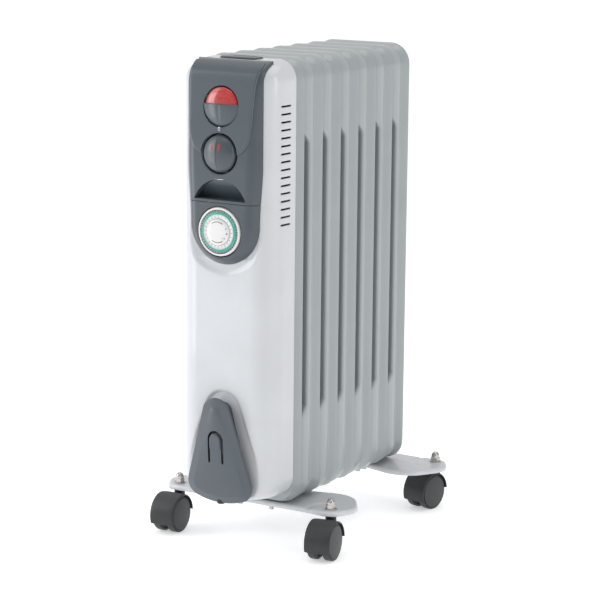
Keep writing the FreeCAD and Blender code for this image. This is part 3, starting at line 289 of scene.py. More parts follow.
world = bpy.data.worlds.new("room")
bpy.context.scene.world = world
world.use_nodes = True
wn, wl = world.node_tree.nodes, world.node_tree.links
wn.clear()
direction = wn.new("ShaderNodeTexCoord")
split = wn.new("ShaderNodeSeparateXYZ")
side_ramp = wn.new("ShaderNodeMapRange")
for socket, value in (("From Min", -0.7), ("From Max", 0.9), ("To Min", 0.86), ("To Max", 0.50)):
    side_ramp.inputs[socket].default_value = value
shade = wn.new("ShaderNodeCombineColor")
sky = wn.new("ShaderNodeBackground")
wl.new(direction.outputs["Generated"], split.inputs[0])
wl.new(split.outputs["X"], side_ramp.inputs["Value"])
for channel in ("Red", "Green", "Blue"):
    wl.new(side_ramp.outputs[0], shade.inputs[channel])
wl.new(shade.outputs[0], sky.inputs["Color"])
sky.inputs["Strength"].default_value = 0.95
plain = wn.new("ShaderNodeBackground")
plain.inputs["Color"].default_value = (1, 1, 1, 1)
choose = wn.new("ShaderNodeMixShader")
rays = wn.new("ShaderNodeLightPath")
room_out = wn.new("ShaderNodeOutputWorld")
wl.new(rays.outputs["Is Camera Ray"], choose.inputs["Fac"])
wl.new(sky.outputs[0], choose.inputs[1])
wl.new(plain.outputs[0], choose.inputs[2])
wl.new(choose.outputs[0], room_out.inputs["Surface"])
bpy.context.scene.view_settings.view_transform = "Standard"
bpy.context.scene.view_settings.look = "None"

# %% Floor
floor_mesh = bpy.data.meshes.new("floor")
span = 60.0
floor_mesh.from_pydata([(-span, -span, 0), (span, -span, 0), (span, span, 0), (-span, span, 0)],
                       [], [(0, 1, 2, 3)])
floor = bpy.data.objects.new("floor", floor_mesh)
bpy.context.scene.collection.objects.link(floor)
floor_paint = bpy.data.materials.new("floor_white")
floor_paint.use_nodes = True
shader = floor_paint.node_tree.nodes["Principled BSDF"]
shader.inputs["Base Color"].default_value = (0.92, 0.92, 0.92, 1)
shader.inputs["Roughness"].default_value = 0.9
shader.inputs["Specular IOR Level"].default_value = 0.1
shader.inputs["Emission Color"].default_value = (1, 1, 1, 1)
shader.inputs["Emission Strength"].default_value = 0.42
floor_mesh.materials.append(floor_paint)
print("room and floor ready")

# %% [markdown]
# ## Finishes
# Four effects come back in many finishes, so each is a node group that is built
# once: fine unevenness of a coat of paint, moulded grain, rubbed edges, and the
# thin film of dust and touch marks that changes how a surface shines. The groups
# only put out masks, values, colours and normals. The shader stays in each
# material.


# %% Node groups
def new_group(name, inputs, outputs):
    """An empty shader node group with named sockets. inputs are (name, kind,
    default) and outputs (name, kind)."""
    group = bpy.data.node_groups.new(name, "ShaderNodeTree")
    for label, kind, default in inputs:
        socket = group.interface.new_socket(label, in_out="INPUT", socket_type="NodeSocket" + kind)
        socket.default_value = default
    for label, kind in outputs:
        group.interface.new_socket(label, in_out="OUTPUT", socket_type="NodeSocket" + kind)
    return group, group.nodes.new("NodeGroupInput"), group.nodes.new("NodeGroupOutput")


def add(tree, kind, **values):
    """Add a node; values name its properties or, with underscores for spaces, its sockets."""
    node = tree.nodes.new("ShaderNode" + kind)
    for key, value in values.items():
        label = key.replace("_", " ")
        if label in node.inputs:
            node.inputs[label].default_value = value
        else:
            setattr(node, key, value)
    return node


def paint_texture():
    """Height of sprayed enamel: a broad wave plus a fine ripple."""
    group, entry, result = new_group(
        "paint_ripple", [("Scale", "Float", 1.0), ("Depth", "Float", 1.0)], [("Height", "Float")])
    place = add(group, "TexCoord")
    for label, scale, detail in (("broad", 42.0, 1.0), ("fine", 420.0, 2.0)):
        rate = add(group, "Math", operation="MULTIPLY")
        rate.inputs[1].default_value = scale
        group.links.new(entry.outputs["Scale"], rate.inputs[0])
        noise = add(group, "TexNoise", Detail=detail)
        noise.name = label
        group.links.new(place.outputs["Object"], noise.inputs["Vector"])
        group.links.new(rate.outputs[0], noise.inputs["Scale"])
    mix = add(group, "Math", operation="MULTIPLY_ADD")
    mix.inputs[1].default_value = 0.35
    group.links.new(group.nodes["fine"].outputs[0], mix.inputs[0])
    group.links.new(group.nodes["broad"].outputs[0], mix.inputs[2])
    size = add(group, "Math", operation="MULTIPLY")
    group.links.new(mix.outputs[0], size.inputs[0])
    group.links.new(entry.outputs["Depth"], size.inputs[1])
    group.links.new(size.outputs[0], result.inputs["Height"])
    return group


def grain_texture():
    """Height of spark-eroded mould grain: small rounded cells over fine noise."""
    group, entry, result = new_group(
        "mould_grain", [("Scale", "Float", 1500.0), ("Depth", "Float", 1.0)], [("Height", "Float")])
    place = add(group, "TexCoord")
    cells = add(group, "TexVoronoi", feature="SMOOTH_F1")
    noise = add(group, "TexNoise", Detail=3.0)
    for node in (cells, noise):
        group.links.new(place.outputs["Object"], node.inputs["Vector"])
        group.links.new(entry.outputs["Scale"], node.inputs["Scale"])
    both = add(group, "Math", operation="MULTIPLY_ADD")
    both.inputs[1].default_value = 0.5
    group.links.new(noise.outputs[0], both.inputs[0])
    group.links.new(cells.outputs["Distance"], both.inputs[2])
    size = add(group, "Math", operation="MULTIPLY")
    group.links.new(both.outputs[0], size.inputs[0])
    group.links.new(entry.outputs["Depth"], size.inputs[1])
    group.links.new(size.outputs[0], result.inputs["Height"])
    return group


def edge_rub():
    """Base colour with a lighter rubbed tone on convex edges, broken up by noise.
    The mask is how far the rounded normal leans from the true one."""
    group, entry, result = new_group(
        "edge_rub",
        [("Base", "Color", (0.5, 0.5, 0.5, 1)), ("Rubbed", "Color", (0.7, 0.7, 0.7, 1)),
         ("Width", "Float", 0.0008), ("Amount", "Float", 0.5)],
        [("Color", "Color"), ("Mask", "Float")])
    bevel = add(group, "Bevel", samples=4)
    solid = add(group, "NewGeometry")
    lean = add(group, "VectorMath", operation="DOT_PRODUCT")
    lean_range = add(group, "MapRange", From_Min=0.995, From_Max=0.86, To_Min=0.0, To_Max=1.0)
    place = add(group, "TexCoord")
    noise = add(group, "TexNoise", Scale=190.0, Detail=3.0)
    cut = add(group, "MapRange", From_Min=0.35, From_Max=0.7, To_Min=0.25, To_Max=1.0)
    one = add(group, "Math", operation="MULTIPLY")
    two = add(group, "Math", operation="MULTIPLY")
    mix = add(group, "Mix", data_type="RGBA")
    link = group.links.new
    link(entry.outputs["Width"], bevel.inputs["Radius"])
    link(bevel.outputs[0], lean.inputs[0])
    link(solid.outputs["Normal"], lean.inputs[1])
    link(lean.outputs["Value"], lean_range.inputs["Value"])
    link(place.outputs["Object"], noise.inputs["Vector"])
    link(noise.outputs[0], cut.inputs["Value"])
    link(lean_range.outputs[0], one.inputs[0])
    link(cut.outputs[0], one.inputs[1])
    link(one.outputs[0], two.inputs[0])
    link(entry.outputs["Amount"], two.inputs[1])
    link(two.outputs[0], mix.inputs["Factor"])
    link(entry.outputs["Base"], mix.inputs[6])
    link(entry.outputs["Rubbed"], mix.inputs[7])
    link(mix.outputs[2], result.inputs["Color"])
    link(two.outputs[0], result.inputs["Mask"])
    return group


def handling_film():
    """Colour and roughness changed by settled dust on upward faces and by broad
    cloudy touch marks."""
    group, entry, result = new_group(
        "handling_film",
        [("Color", "Color", (0.5, 0.5, 0.5, 1)), ("Dust Color", "Color", (0.6, 0.6, 0.58, 1)),
         ("Dust", "Float", 0.2), ("Roughness", "Float", 0.3), ("Marks", "Float", 0.08)],
        [("Color", "Color"), ("Roughness", "Float")])
    link = group.links.new
    solid = add(group, "NewGeometry")
    normal_parts = add(group, "SeparateXYZ")
    up = add(group, "MapRange", From_Min=0.3, From_Max=1.0, To_Min=0.0, To_Max=1.0)
    place = add(group, "TexCoord")
    speck = add(group, "TexNoise", Scale=900.0, Detail=4.0)
    cloud = add(group, "TexNoise", Scale=14.0, Detail=4.0, Distortion=0.6)
    lay = add(group, "Math", operation="MULTIPLY")
    amount = add(group, "Math", operation="MULTIPLY")
    mix = add(group, "Mix", data_type="RGBA")
    tint = add(group, "MapRange", From_Min=0.3, From_Max=0.7, To_Min=0.965, To_Max=1.02)
    shift = add(group, "Mix", data_type="RGBA", blend_type="MULTIPLY")
    shift.inputs["Factor"].default_value = 1.0
    rough = add(group, "Math", operation="MULTIPLY_ADD")
    lift = add(group, "Math", operation="MULTIPLY_ADD")
    link(solid.outputs["Normal"], normal_parts.inputs[0])
    link(normal_parts.outputs["Z"], up.inputs["Value"])
    for noise in (speck, cloud):
        link(place.outputs["Object"], noise.inputs["Vector"])
    link(up.outputs[0], lay.inputs[0])
    link(speck.outputs[0], lay.inputs[1])
    link(lay.outputs[0], amount.inputs[0])
    link(entry.outputs["Dust"], amount.inputs[1])
    link(cloud.outputs[0], tint.inputs["Value"])
    link(entry.outputs["Color"], shift.inputs[6])
    link(tint.outputs[0], shift.inputs[7])
    link(amount.outputs[0], mix.inputs["Factor"])
    link(shift.outputs[2], mix.inputs[6])
    link(entry.outputs["Dust Color"], mix.inputs[7])
    link(mix.outputs[2], result.inputs["Color"])
    link(cloud.outputs[0], rough.inputs[0])
    link(entry.outputs["Marks"], rough.inputs[1])
    link(entry.outputs["Roughness"], rough.inputs[2])
    link(amount.outputs[0], lift.inputs[0])
    lift.inputs[1].default_value = 0.5
    link(rough.outputs[0], lift.inputs[2])
    link(lift.outputs[0], result.inputs["Roughness"])
    return group


GROUPS = {"ripple": paint_texture(), "grain": grain_texture(),
          "rub": edge_rub(), "film": handling_film()}
print("node groups", sorted(g.name for g in GROUPS.values()))


# %% [markdown]
# A finish is a Principled shader fed by the groups. Enamel is a hard coat, so it
# has a little ripple and a clear top layer. A moulding has grain instead. Values
# that are the same everywhere are set on the shader itself.

# %% Finish maker
def group_node(tree, key, **values):
    """Place a shared group; values name its inputs."""
    node = tree.nodes.new("ShaderNodeGroup")
    node.node_tree = GROUPS[key]
    for label, value in values.items():
        node.inputs[label.replace("_", " ")].default_value = value
    return node


def finish(name, base, rubbed, roughness, relief="grain", scale=1.0, depth=1.0, bump=0.1,
           distance=0.0002, wear=0.5, width=0.0008, dust=0.15, dust_color=(0.6, 0.6, 0.58, 1),
           marks=0.08, metallic=0.0, coat=0.0, coat_roughness=0.08, specular=0.5, pattern=None):
    """A material: base colour -> edge rub -> handling film -> shader, with one relief
    group as bump. pattern(tree) may give a socket that is used instead of base."""
    material = bpy.data.materials.new(name)
    material.use_nodes = True
    tree = material.node_tree
    surface = tree.nodes["Principled BSDF"]
    rub = group_node(tree, "rub", Base=base, Rubbed=rubbed, Width=width, Amount=wear)
    film = group_node(tree, "film", Dust_Color=dust_color, Dust=dust, Roughness=roughness,
                      Marks=marks)
    height = group_node(tree, relief, Scale=scale, Depth=depth)
    push = tree.nodes.new("ShaderNodeBump")
    push.inputs["Strength"].default_value = bump
    push.inputs["Distance"].default_value = distance
    if pattern is not None:
        tree.links.new(pattern(tree), rub.inputs["Base"])
    tree.links.new(rub.outputs["Color"], film.inputs["Color"])
    tree.links.new(film.outputs["Color"], surface.inputs["Base Color"])
    tree.links.new(film.outputs["Roughness"], surface.inputs["Roughness"])
    tree.links.new(height.outputs["Height"], push.inputs["Height"])
    tree.links.new(push.outputs["Normal"], surface.inputs["Normal"])
    surface.inputs["Metallic"].default_value = metallic
    surface.inputs["Specular IOR Level"].default_value = specular
    surface.inputs["Coat Weight"].default_value = coat
    surface.inputs["Coat Roughness"].default_value = coat_roughness
    return material


# %% The finishes
ENAMEL = dict(relief="ripple", scale=1.0, depth=1.0, bump=0.12, distance=0.0004,
              wear=0.25, coat=0.5, coat_roughness=0.06, marks=0.06, dust=0.1,
              dust_color=(0.72, 0.72, 0.70, 1))
paint_housing = finish("enamel_housing", (0.575, 0.592, 0.615, 1), (0.74, 0.75, 0.76, 1), 0.30,
                       **ENAMEL)
paint_fins = finish("enamel_fins", (0.315, 0.345, 0.352, 1), (0.56, 0.59, 0.60, 1), 0.34, **ENAMEL)
paint_feet = finish("enamel_feet", (0.60, 0.62, 0.645, 1), (0.70, 0.71, 0.73, 1), 0.32, **ENAMEL)
SATIN = dict(relief="grain", scale=1900.0, bump=0.10, distance=0.00008, wear=0.35, marks=0.10,
             dust=0.12, dust_color=(0.42, 0.43, 0.44, 1), coat=0.25, coat_roughness=0.12)
plastic_panel = finish("panel_slate", (0.054, 0.070, 0.084, 1), (0.16, 0.19, 0.21, 1), 0.26,
                       **SATIN)
plastic_shield = finish("shield_slate", (0.062, 0.080, 0.095, 1), (0.17, 0.20, 0.22, 1), 0.24,
                        **SATIN)
plastic_cover = finish("cover_slate", (0.064, 0.080, 0.095, 1), (0.18, 0.21, 0.23, 1), 0.34,
                       **SATIN)
GRAINED = dict(relief="grain", scale=1400.0, bump=0.22, distance=0.00012, wear=0.4, marks=0.10,
               dust=0.25, dust_color=(0.20, 0.20, 0.20, 1))
plastic_black = finish("black_moulding", (0.018, 0.021, 0.023, 1), (0.07, 0.075, 0.08, 1), 0.42,
                       **GRAINED)
plastic_wheel = finish("wheel_moulding", (0.026, 0.031, 0.034, 1), (0.08, 0.085, 0.09, 1), 0.40,
                       **GRAINED)
rubber = finish("bush_rubber", (0.020, 0.020, 0.021, 1), (0.06, 0.06, 0.06, 1), 0.62, **GRAINED)
plastic_white = finish("white_moulding", (0.72, 0.72, 0.71, 1), (0.80, 0.80, 0.79, 1), 0.36,
                       relief="grain", scale=2200.0, bump=0.08, distance=0.00006, wear=0.2,
                       dust=0.1, marks=0.06, coat=0.15)
METAL = dict(relief="ripple", scale=3.0, bump=0.10, distance=0.0001, metallic=1.0, wear=0.3,
             dust=0.08, marks=0.10)
nickel = finish("bright_nickel", (0.50, 0.48, 0.46, 1), (0.72, 0.70, 0.68, 1), 0.20, **METAL)
zinc = finish("zinc_steel", (0.50, 0.51, 0.52, 1), (0.66, 0.67, 0.68, 1), 0.36, **METAL)
zinc_sheet = finish("zinc_sheet", (0.46, 0.48, 0.50, 1), (0.60, 0.62, 0.64, 1), 0.42, **METAL)
copper = finish("element_copper", (0.60, 0.30, 0.17, 1), (0.75, 0.45, 0.30, 1), 0.35, **METAL)
brass = finish("brass_flange", (0.62, 0.47, 0.22, 1), (0.78, 0.64, 0.38, 1), 0.32, **METAL)
wire_skin = finish("wire_insulation", (0.30, 0.045, 0.03, 1), (0.42, 0.12, 0.09, 1), 0.45,
                   **GRAINED)
print("finishes", len(bpy.data.materials))

# %% [markdown]
# The lamp lens is tinted plastic over a prismatic inside, so its red deepens in
# small cells. A clear coat gives it the two tiny lights of a moulded dome.


# %% Lens finish
def lens_cells(tree):
    """Red that deepens between small prism cells."""
    place = add(tree, "TexCoord")
    cells = add(tree, "TexVoronoi", Scale=340.0)
    ramp = add(tree, "ValToRGB")
    ramp.color_ramp.elements[0].color = (0.50, 0.026, 0.022, 1)
    ramp.color_ramp.elements[1].color = (0.30, 0.010, 0.010, 1)
    ramp.color_ramp.elements[0].position = 0.25
    tree.links.new(place.outputs["Object"], cells.inputs["Vector"])
    tree.links.new(cells.outputs["Distance"], ramp.inputs["Fac"])
    return ramp.outputs["Color"]


paint_lens = finish("lens_red", (0.48, 0.02, 0.02, 1), (0.60, 0.08, 0.07, 1), 0.16,
                    relief="ripple", scale=2.0, bump=0.05, distance=0.0002, wear=0.15, dust=0.03,
                    marks=0.04, coat=0.8, coat_roughness=0.04, pattern=lens_cells)
print("lens finish ready")

# %% [markdown]
# Small mouldings and prints of the controls. Printing ink is a thin, slightly
# uneven film, so it has its own fine relief and no coat.

# %% Control finishes
plastic_knob = finish("knob_slate", (0.058, 0.073, 0.086, 1), (0.18, 0.21, 0.23, 1), 0.28, **SATIN)
plastic_teal = finish("teal_band", (0.018, 0.36, 0.27, 1), (0.10, 0.50, 0.40, 1), 0.34,
                      relief="grain",
                      scale=2200.0, bump=0.06, distance=0.00006, wear=0.2, dust=0.06, coat=0.1)
plastic_tappet = finish("tappet_grey", (0.42, 0.44, 0.45, 1), (0.55, 0.56, 0.57, 1), 0.40,
                        relief="grain",
                        scale=2200.0, bump=0.08, distance=0.00006, wear=0.25, dust=0.1)
INK = dict(relief="grain", scale=3000.0, bump=0.05, distance=0.00003, wear=0.0, dust=0.05,
           marks=0.05)
print_white = finish("ink_white", (0.72, 0.74, 0.76, 1), (0.8, 0.8, 0.8, 1), 0.45, **INK)
print_dark = finish("ink_dark", (0.025, 0.025, 0.035, 1), (0.05, 0.05, 0.06, 1), 0.45, **INK)
print_red = finish("ink_red", (0.42, 0.025, 0.022, 1), (0.5, 0.08, 0.06, 1), 0.38, **INK)
print("control finishes ready")

# %% [markdown]
# ## Fins
# A fin is two pressed sheets welded face to face. The oil runs in the raised
# chamber in the middle, and the rim is folded into a wide flange, so that seven
# fins together close to a smooth ribbed wall. One profile describes the flange:
# how far it lies inside the outline at each depth. It is carried round a rounded
# rectangle, and the same rings then shrink onto the chamber.

# %% Outline of a fin
CORNER = 26.0
CORE_BACK = 14.0
SLOT_LOW, SLOT_HIGH = 162.0, 506.0
HEADER_LOW, HEADER_HIGH = 110.0, 536.0


def rounded_outline(half, bottom, top, corner, rows, corner_steps=12, flat_steps=8):
    """Points and outward normals of a rounded rectangle in x and z, once round,
    starting up the right side, whose heights are rows."""
    turn = np.linspace(0, math.pi / 2, corner_steps + 1)[1:-1]
    flat = np.linspace(half - corner, corner - half, flat_steps + 1)
    points, normals = [], []

    def put(x, z, nx, nz):
        points.append(np.stack(np.broadcast_arrays(x, z), -1).astype(float))
        normals.append(np.stack(np.broadcast_arrays(nx, nz, x * 0.0 + z * 0.0)[:2],
                                -1).astype(float))

    def bend(cx, cz, angles):
        put(cx + corner * np.cos(angles), cz + corner * np.sin(angles), np.cos(angles),
            np.sin(angles))

    put(half, rows, 1.0, 0.0)
    bend(half - corner, top - corner, turn)
    put(flat, top, 0.0, 1.0)
    bend(corner - half, top - corner, turn + math.pi / 2)
    put(-half, rows[::-1], -1.0, 0.0)
    bend(corner - half, bottom + corner, turn + math.pi)
    put(flat[::-1], bottom, 0.0, -1.0)
    bend(half - corner, bottom + corner, turn + 1.5 * math.pi)
    return np.concatenate(points), np.concatenate(normals)


side_rows = np.concatenate([
    np.linspace(FIN_BOTTOM + CORNER, SLOT_LOW - 4, 12),
    np.linspace(SLOT_LOW - 1, SLOT_LOW + 18, 15),
    np.linspace(SLOT_LOW + 28, SLOT_HIGH - 28, 16),
    np.linspace(SLOT_HIGH - 18, SLOT_HIGH + 1, 15),
    np.linspace(SLOT_HIGH + 4, FIN_TOP - CORNER, 8)])
RIM, RIM_NORMAL = rounded_outline(FIN_HALF, FIN_BOTTOM, FIN_TOP, CORNER, side_rows)
SPINE = np.stack([np.zeros(len(RIM)), np.clip(RIM[:, 1], HEADER_LOW, HEADER_HIGH)], -1)
AWAY = (RIM - SPINE) / np.linalg.norm(RIM - SPINE, axis=1, keepdims=True)
at_side = (np.abs(RIM_NORMAL[:, 0]) > 0.999)
slot_share = at_side * smoothstep(SLOT_LOW, SLOT_LOW + 16, RIM[:, 1]) \
    * (1 - smoothstep(SLOT_HIGH - 16, SLOT_HIGH, RIM[:, 1]))
print("outline points", len(RIM))

# %% One fin
FLANGE = [(1.4, 3.4), (3.0, 2.0), (6.0, 1.35), (13.0, 1.2), (18.0, 1.5), (23.0, 2.5),
          (28.0, 4.2), (31.5, 3.1), (36.5, 1.1), (40.5, 0.25), (42.0, 0.1)]
CHAMBER = [(0.0, 5.0), (14.0, 5.0), (24.0, 5.0), (26.5, 4.8), (28.5, 4.0), (30.5, 2.4),
           (32.5, 1.2), (35.0, 0.7)]
SHEET = 1.1
# Depth and offset of the front of the flange, from the valley forwards: where it
# is whole, and where an air slot folds it inwards.
WHOLE_FRONT = np.array([(24.0, 2.75), (20.0, 1.8), (16.0, 1.3), (12.0, 1.2), (8.0, 1.25),
                        (5.0, 1.5), (3.4, 1.85), (2.4, 2.3), (1.8, 2.8), (1.4, 3.4)])
SLOT_FRONT = np.array([(24.0, 2.75), (21.5, 2.1), (19.0, 1.65), (17.0, 1.5), (15.6, 1.7),
                       (14.6, 2.3), (14.0, 3.3), (13.7, 5.0), (13.5, 8.0), (13.4, 11.5)])


def fin_rings(y_front, first):
    """Rings from the middle of the front face, out over the flange and back to the
    middle of the rear face. The front of the flange is a mix of the whole and the
    folded path, by how far a point lies in an air slot; its back is that path moved
    one sheet thickness along its own normal."""
    rings = []

    def ring(plan, depth):
        depth = np.broadcast_to(depth, len(RIM))
        rings.append(np.stack([plan[:, 0], y_front + depth, plan[:, 1]], -1))

    def inside(offset):
        return RIM - np.broadcast_to(offset, len(RIM))[:, None] * RIM_NORMAL

    core = PITCH - CORE_BACK
    for reach, lift in CHAMBER:
        ring(SPINE + reach * AWAY, core - lift)
    for share in (0.5, 0.8):
        ring((1 - share) * (SPINE + 35.0 * AWAY) + share * inside(4.2 + SHEET), core - 0.7)
    if first:
        ring(inside(4.2 + SHEET), core - 0.7)
        ring(inside(4.4), core - 0.5)
        depths = np.linspace(28.5, 41.0, 12)
    else:
        path = (WHOLE_FRONT[:, None] * (1 - slot_share)[None, :, None]
                + SLOT_FRONT[:, None] * slot_share[None, :, None])
        along = np.gradient(path, axis=0)
        along /= np.linalg.norm(along, axis=-1, keepdims=True)
        behind = path + SHEET * np.stack([along[..., 1], -along[..., 0]], -1)
        for depth, offset in zip(behind[..., 0], behind[..., 1]):
            ring(inside(offset), depth)
        tip = (path[-1] + behind[-1]) / 2 + along[-1] * SHEET / 2
        ring(inside(tip[:, 1]), tip[:, 0])
        for depth, offset in zip(path[::-1, :, 0], path[::-1, :, 1]):
            ring(inside(offset), depth)
        depths = np.linspace(25.0, 41.0, 17)
    for depth in depths:
        ring(inside(smooth_curve(FLANGE, depth)), depth)
    for angle in np.radians([-60, -20, 20, 60, 90]):
        ring(inside(0.9 + 0.85 * math.sin(angle)), PITCH - 0.9 + 0.85 * math.cos(angle))
    for depth in (39.0, 36.0, 33.0, 30.5, 28.9):
        ring(inside(smooth_curve(FLANGE, depth) + SHEET), depth)
    for share in (0.8, 0.5):
        ring((1 - share) * (SPINE + 35.0 * AWAY) + share * inside(4.2 + SHEET), core + 0.7)
    for reach, lift in CHAMBER[::-1]:
        ring(SPINE + reach * AWAY, core + lift)
    return np.stack(rings)


def header_neck(z, y_from, y_to):
    """Turned neck of a header between two chambers, waisted in the middle."""
    t = np.linspace(0, 1, 13)
    radius = 18.0 + 4.5 * (2 * t - 1) ** 4
    along = y_from + t * (y_to - y_from)
    profile = np.stack([np.r_[0, radius, 0], np.r_[y_from, along, y_to]], -1)
    return turned(profile, (0, 1, 0), (0, 0, z), 40)


for index in range(FIN_COUNT):
    y_front = FIN1_REAR + PITCH * (index - 1)
    core_y = y_front + PITCH - CORE_BACK
    grids = [(fin_rings(y_front, index == 0), True, False)]
    for z in (HEADER_LOW, HEADER_HIGH):
        neck_from = core_y - 7.5 if index == 0 else core_y - PITCH + 4.0
        grids.append((header_neck(z, neck_from, core_y - 4.0), True, False))
        if index == FIN_COUNT - 1:
            grids.append((header_neck(z, core_y + 4.0, core_y + 8.6), True, False))
    pressing = tidy(mesh_piece("fin_pressing_%d" % (index + 1), grids), smooth=50)
    settle(pressing, "radiator", "fin_enamel", paint_fins, "fin_%d" % (index + 1))

# %% [markdown]
# ## Control housing
# The housing is one drawn sheet: a hood with rounded front edges, two soft
# recesses in its face and a row of vents in each side. A plan curve, rear left
# round the front to rear right, is carried upwards. Near the top and bottom it
# shrinks, which closes the hood. The recesses are pressed in afterwards by how
# deep a point lies inside each recess outline.

# %% Plan curves of the housing
ROLL_R = 30.0
OUTLINE_R = 24.0
VENT_COUNT, VENT_PITCH, VENT_FIRST = 16, 9.18, 400.6
VENT_LENGTH, VENT_HEIGHT = 19.8, 2.2
straight = HOUSE_REAR - (HOUSE_FRONT + ROLL_R)
bend_length = ROLL_R * math.pi / 2
vent_middle = HOUSE_REAR - (FIN1_REAR - 36.5)
vent_a = vent_middle - VENT_LENGTH / 2
vent_b = vent_middle + VENT_LENGTH / 2 + 0.2
r1 = VENT_HEIGHT / 2
side_steps = np.concatenate([
    [0.0, 0.8, 2.0, 4.5, 7.5, vent_a - 1.5, vent_a, vent_a + r1],
    np.linspace(vent_a + 4, vent_b - 4, 6),
    [vent_b - r1, vent_b, vent_b + 1.5],
    np.linspace(vent_b + 4, straight + bend_length, 17)])
front_steps = np.linspace(0, 1, 46)[1:-1]


def plan_curve(half, front, roll):
    """x and y along the plan: side, quarter round, front, quarter round, side. The
    columns keep their share of the side and round when those shrink."""
    depth = np.maximum(HOUSE_REAR - front, 1e-3)
    side = np.minimum(side_steps, straight) / straight
    angle = np.clip(side_steps - straight, 0, None) / bend_length * math.pi / 2
    y_side = HOUSE_REAR - side * (depth - roll)
    x_right = half - roll * (1 - np.cos(angle))
    y_right = y_side - roll * np.sin(angle)
    flat = (half - roll) * (1 - 2 * front_steps)
    x = np.concatenate([x_right, flat, -x_right[::-1]])
    y = np.concatenate([y_right, np.full(len(flat), front), y_right[::-1]])
    return x[::-1], y[::-1]


FOOT_ROLL, TOP_ROLL = 8.0, 26.0
levels = []
for t in np.linspace(0, 1, 9)[:-1]:
    levels.append((HOUSE_BOTTOM, HOUSE_REAR + (HOUSE_FRONT + FOOT_ROLL - HOUSE_REAR) * t))
for angle in np.linspace(0, math.pi / 2, 8):
    levels.append((HOUSE_BOTTOM + FOOT_ROLL * (1 - math.cos(angle)),
                   HOUSE_FRONT + FOOT_ROLL * (1 - math.sin(angle))))
vent_rows = [VENT_FIRST + VENT_PITCH * k + d
             for k in range(VENT_COUNT) for d in (-2.2, -r1, -0.78, 0.0, 0.78, r1, 2.2)]
plain_rows = np.concatenate([np.arange(80.0, 212.0, 2.0), np.arange(215.0, 330.0, 8.0),
                             np.arange(333.0, 397.0, 2.0), np.arange(545.0, 563.0, 4.0)])
for z in sorted(list(plain_rows) + vent_rows):
    levels.append((z, HOUSE_FRONT))
for angle in np.linspace(0, 1.35, 15):
    levels.append((HOUSE_TOP - TOP_ROLL + TOP_ROLL * math.sin(angle) * 0.985,
                   HOUSE_FRONT + TOP_ROLL * (1 - math.cos(angle))))
last_z, last_y = levels[-1]
for t in np.linspace(0, 1, 10)[1:]:
    levels.append((last_z + (HOUSE_TOP - last_z) * math.sin(t * math.pi / 2),
                   last_y + (HOUSE_REAR - last_y) * t))


def outline_half(z):
    """Half width of the housing's rounded outline at height z."""
    over = np.maximum(z - (HOUSE_TOP - OUTLINE_R), (HOUSE_BOTTOM + OUTLINE_R) - z)
    over = np.clip(over, 0, OUTLINE_R)
    return HOUSE_HALF - OUTLINE_R + np.sqrt(OUTLINE_R ** 2 - over ** 2)


rows = []
for z, front in levels:
    half = float(outline_half(z))
    roll = min(ROLL_R, 0.85 * (HOUSE_REAR - front), half * 0.7)
    x, y = plan_curve(half, front, max(roll, 0.02))
    rows.append(np.stack([x, y, np.full(len(x), z)], -1))
shell = np.stack(rows)
print("housing grid", shell.shape)


# %% Recesses and vents
def hull_distance(x, z, circles):
    """Distance outside the hull of circles (cx, cz, r): the largest of n.p - h(n),
    where h(n) is the largest n.c + r, over 72 directions n."""
    angle = np.linspace(0, 2 * math.pi, 72, endpoint=False)
    n = np.stack([np.cos(angle), np.sin(angle)], -1)
    support = np.max([n @ np.array([cx, cz]) + r for cx, cz, r in circles], axis=0)
    return np.max(x[..., None] * n[:, 0] + z[..., None] * n[:, 1] - support, axis=-1)


MOAT = [(0.0, 399.0, 59.5), (0.0, 900.0, 59.5)]
COVER_SEAT = [(0.0, 176.0, 25.5), (27.5, 88.0, 27.0), (-27.5, 88.0, 27.0), (0.0, 60.0, 12.0)]
PANEL_EDGE = [(0.0, 399.0, 48.0), (51.0, 480.0, 0.1), (-51.0, 480.0, 0.1),
              (51.0, 900.0, 0.1), (-51.0, 900.0, 0.1)]
X, Y, Z = shell[..., 0], shell[..., 1], shell[..., 2]
depth_to_floor = np.clip(MOAT_FLOOR - Y, 0.0, None)
press = np.zeros_like(Y)
moat_share = np.clip(-hull_distance(X, Z, MOAT) / 10.0, 0, 1)
press = np.maximum(press, depth_to_floor * (1 - (1 - moat_share) ** 2.2))
seat_gap = hull_distance(X, Z, COVER_SEAT)
press = np.maximum(press, depth_to_floor * (1 - smoothstep(-3.4, 0.6, seat_gap)))
near_panel = hull_distance(X, Z, PANEL_EDGE)
channel = 1.3 * (1 - smoothstep(0.0, 7.5, near_panel)) * (Y < HOUSE_REAR - 30) * (Z > 360)
outward_y = np.clip((HOUSE_FRONT + ROLL_R - Y) / ROLL_R, 0, 1)
shell[..., 1] += press + channel * outward_y
shell[..., 0] -= np.sign(X) * channel * np.sqrt(1 - outward_y ** 2) * 0.6

columns = shell.shape[1]
offset_z = ((Z - VENT_FIRST + VENT_PITCH / 2) % VENT_PITCH) - VENT_PITCH / 2
in_vents = (Z > VENT_FIRST - 3) & (Z < VENT_FIRST + VENT_PITCH * (VENT_COUNT - 1) + 3)
tight = in_vents & (np.abs(offset_z) <= r1 + 1e-6)
pull = r1 - np.sqrt(np.clip(r1 ** 2 - np.clip(np.abs(offset_z), 0, r1) ** 2, 0, None))
col_a = int(np.argmin(np.abs(side_steps - vent_a)))
col_b = int(np.argmin(np.abs(side_steps - vent_b)))
for left in (False, True):
    for column, toward in ((col_a, 1), (col_b, -1)):
        c = column if left else columns - 1 - column
        n = c + toward if left else c - toward
        share = np.where(tight[:, c], pull[:, c] / r1, 0.0)[:, None]
        shell[:, c] += (shell[:, n] - shell[:, c]) * share


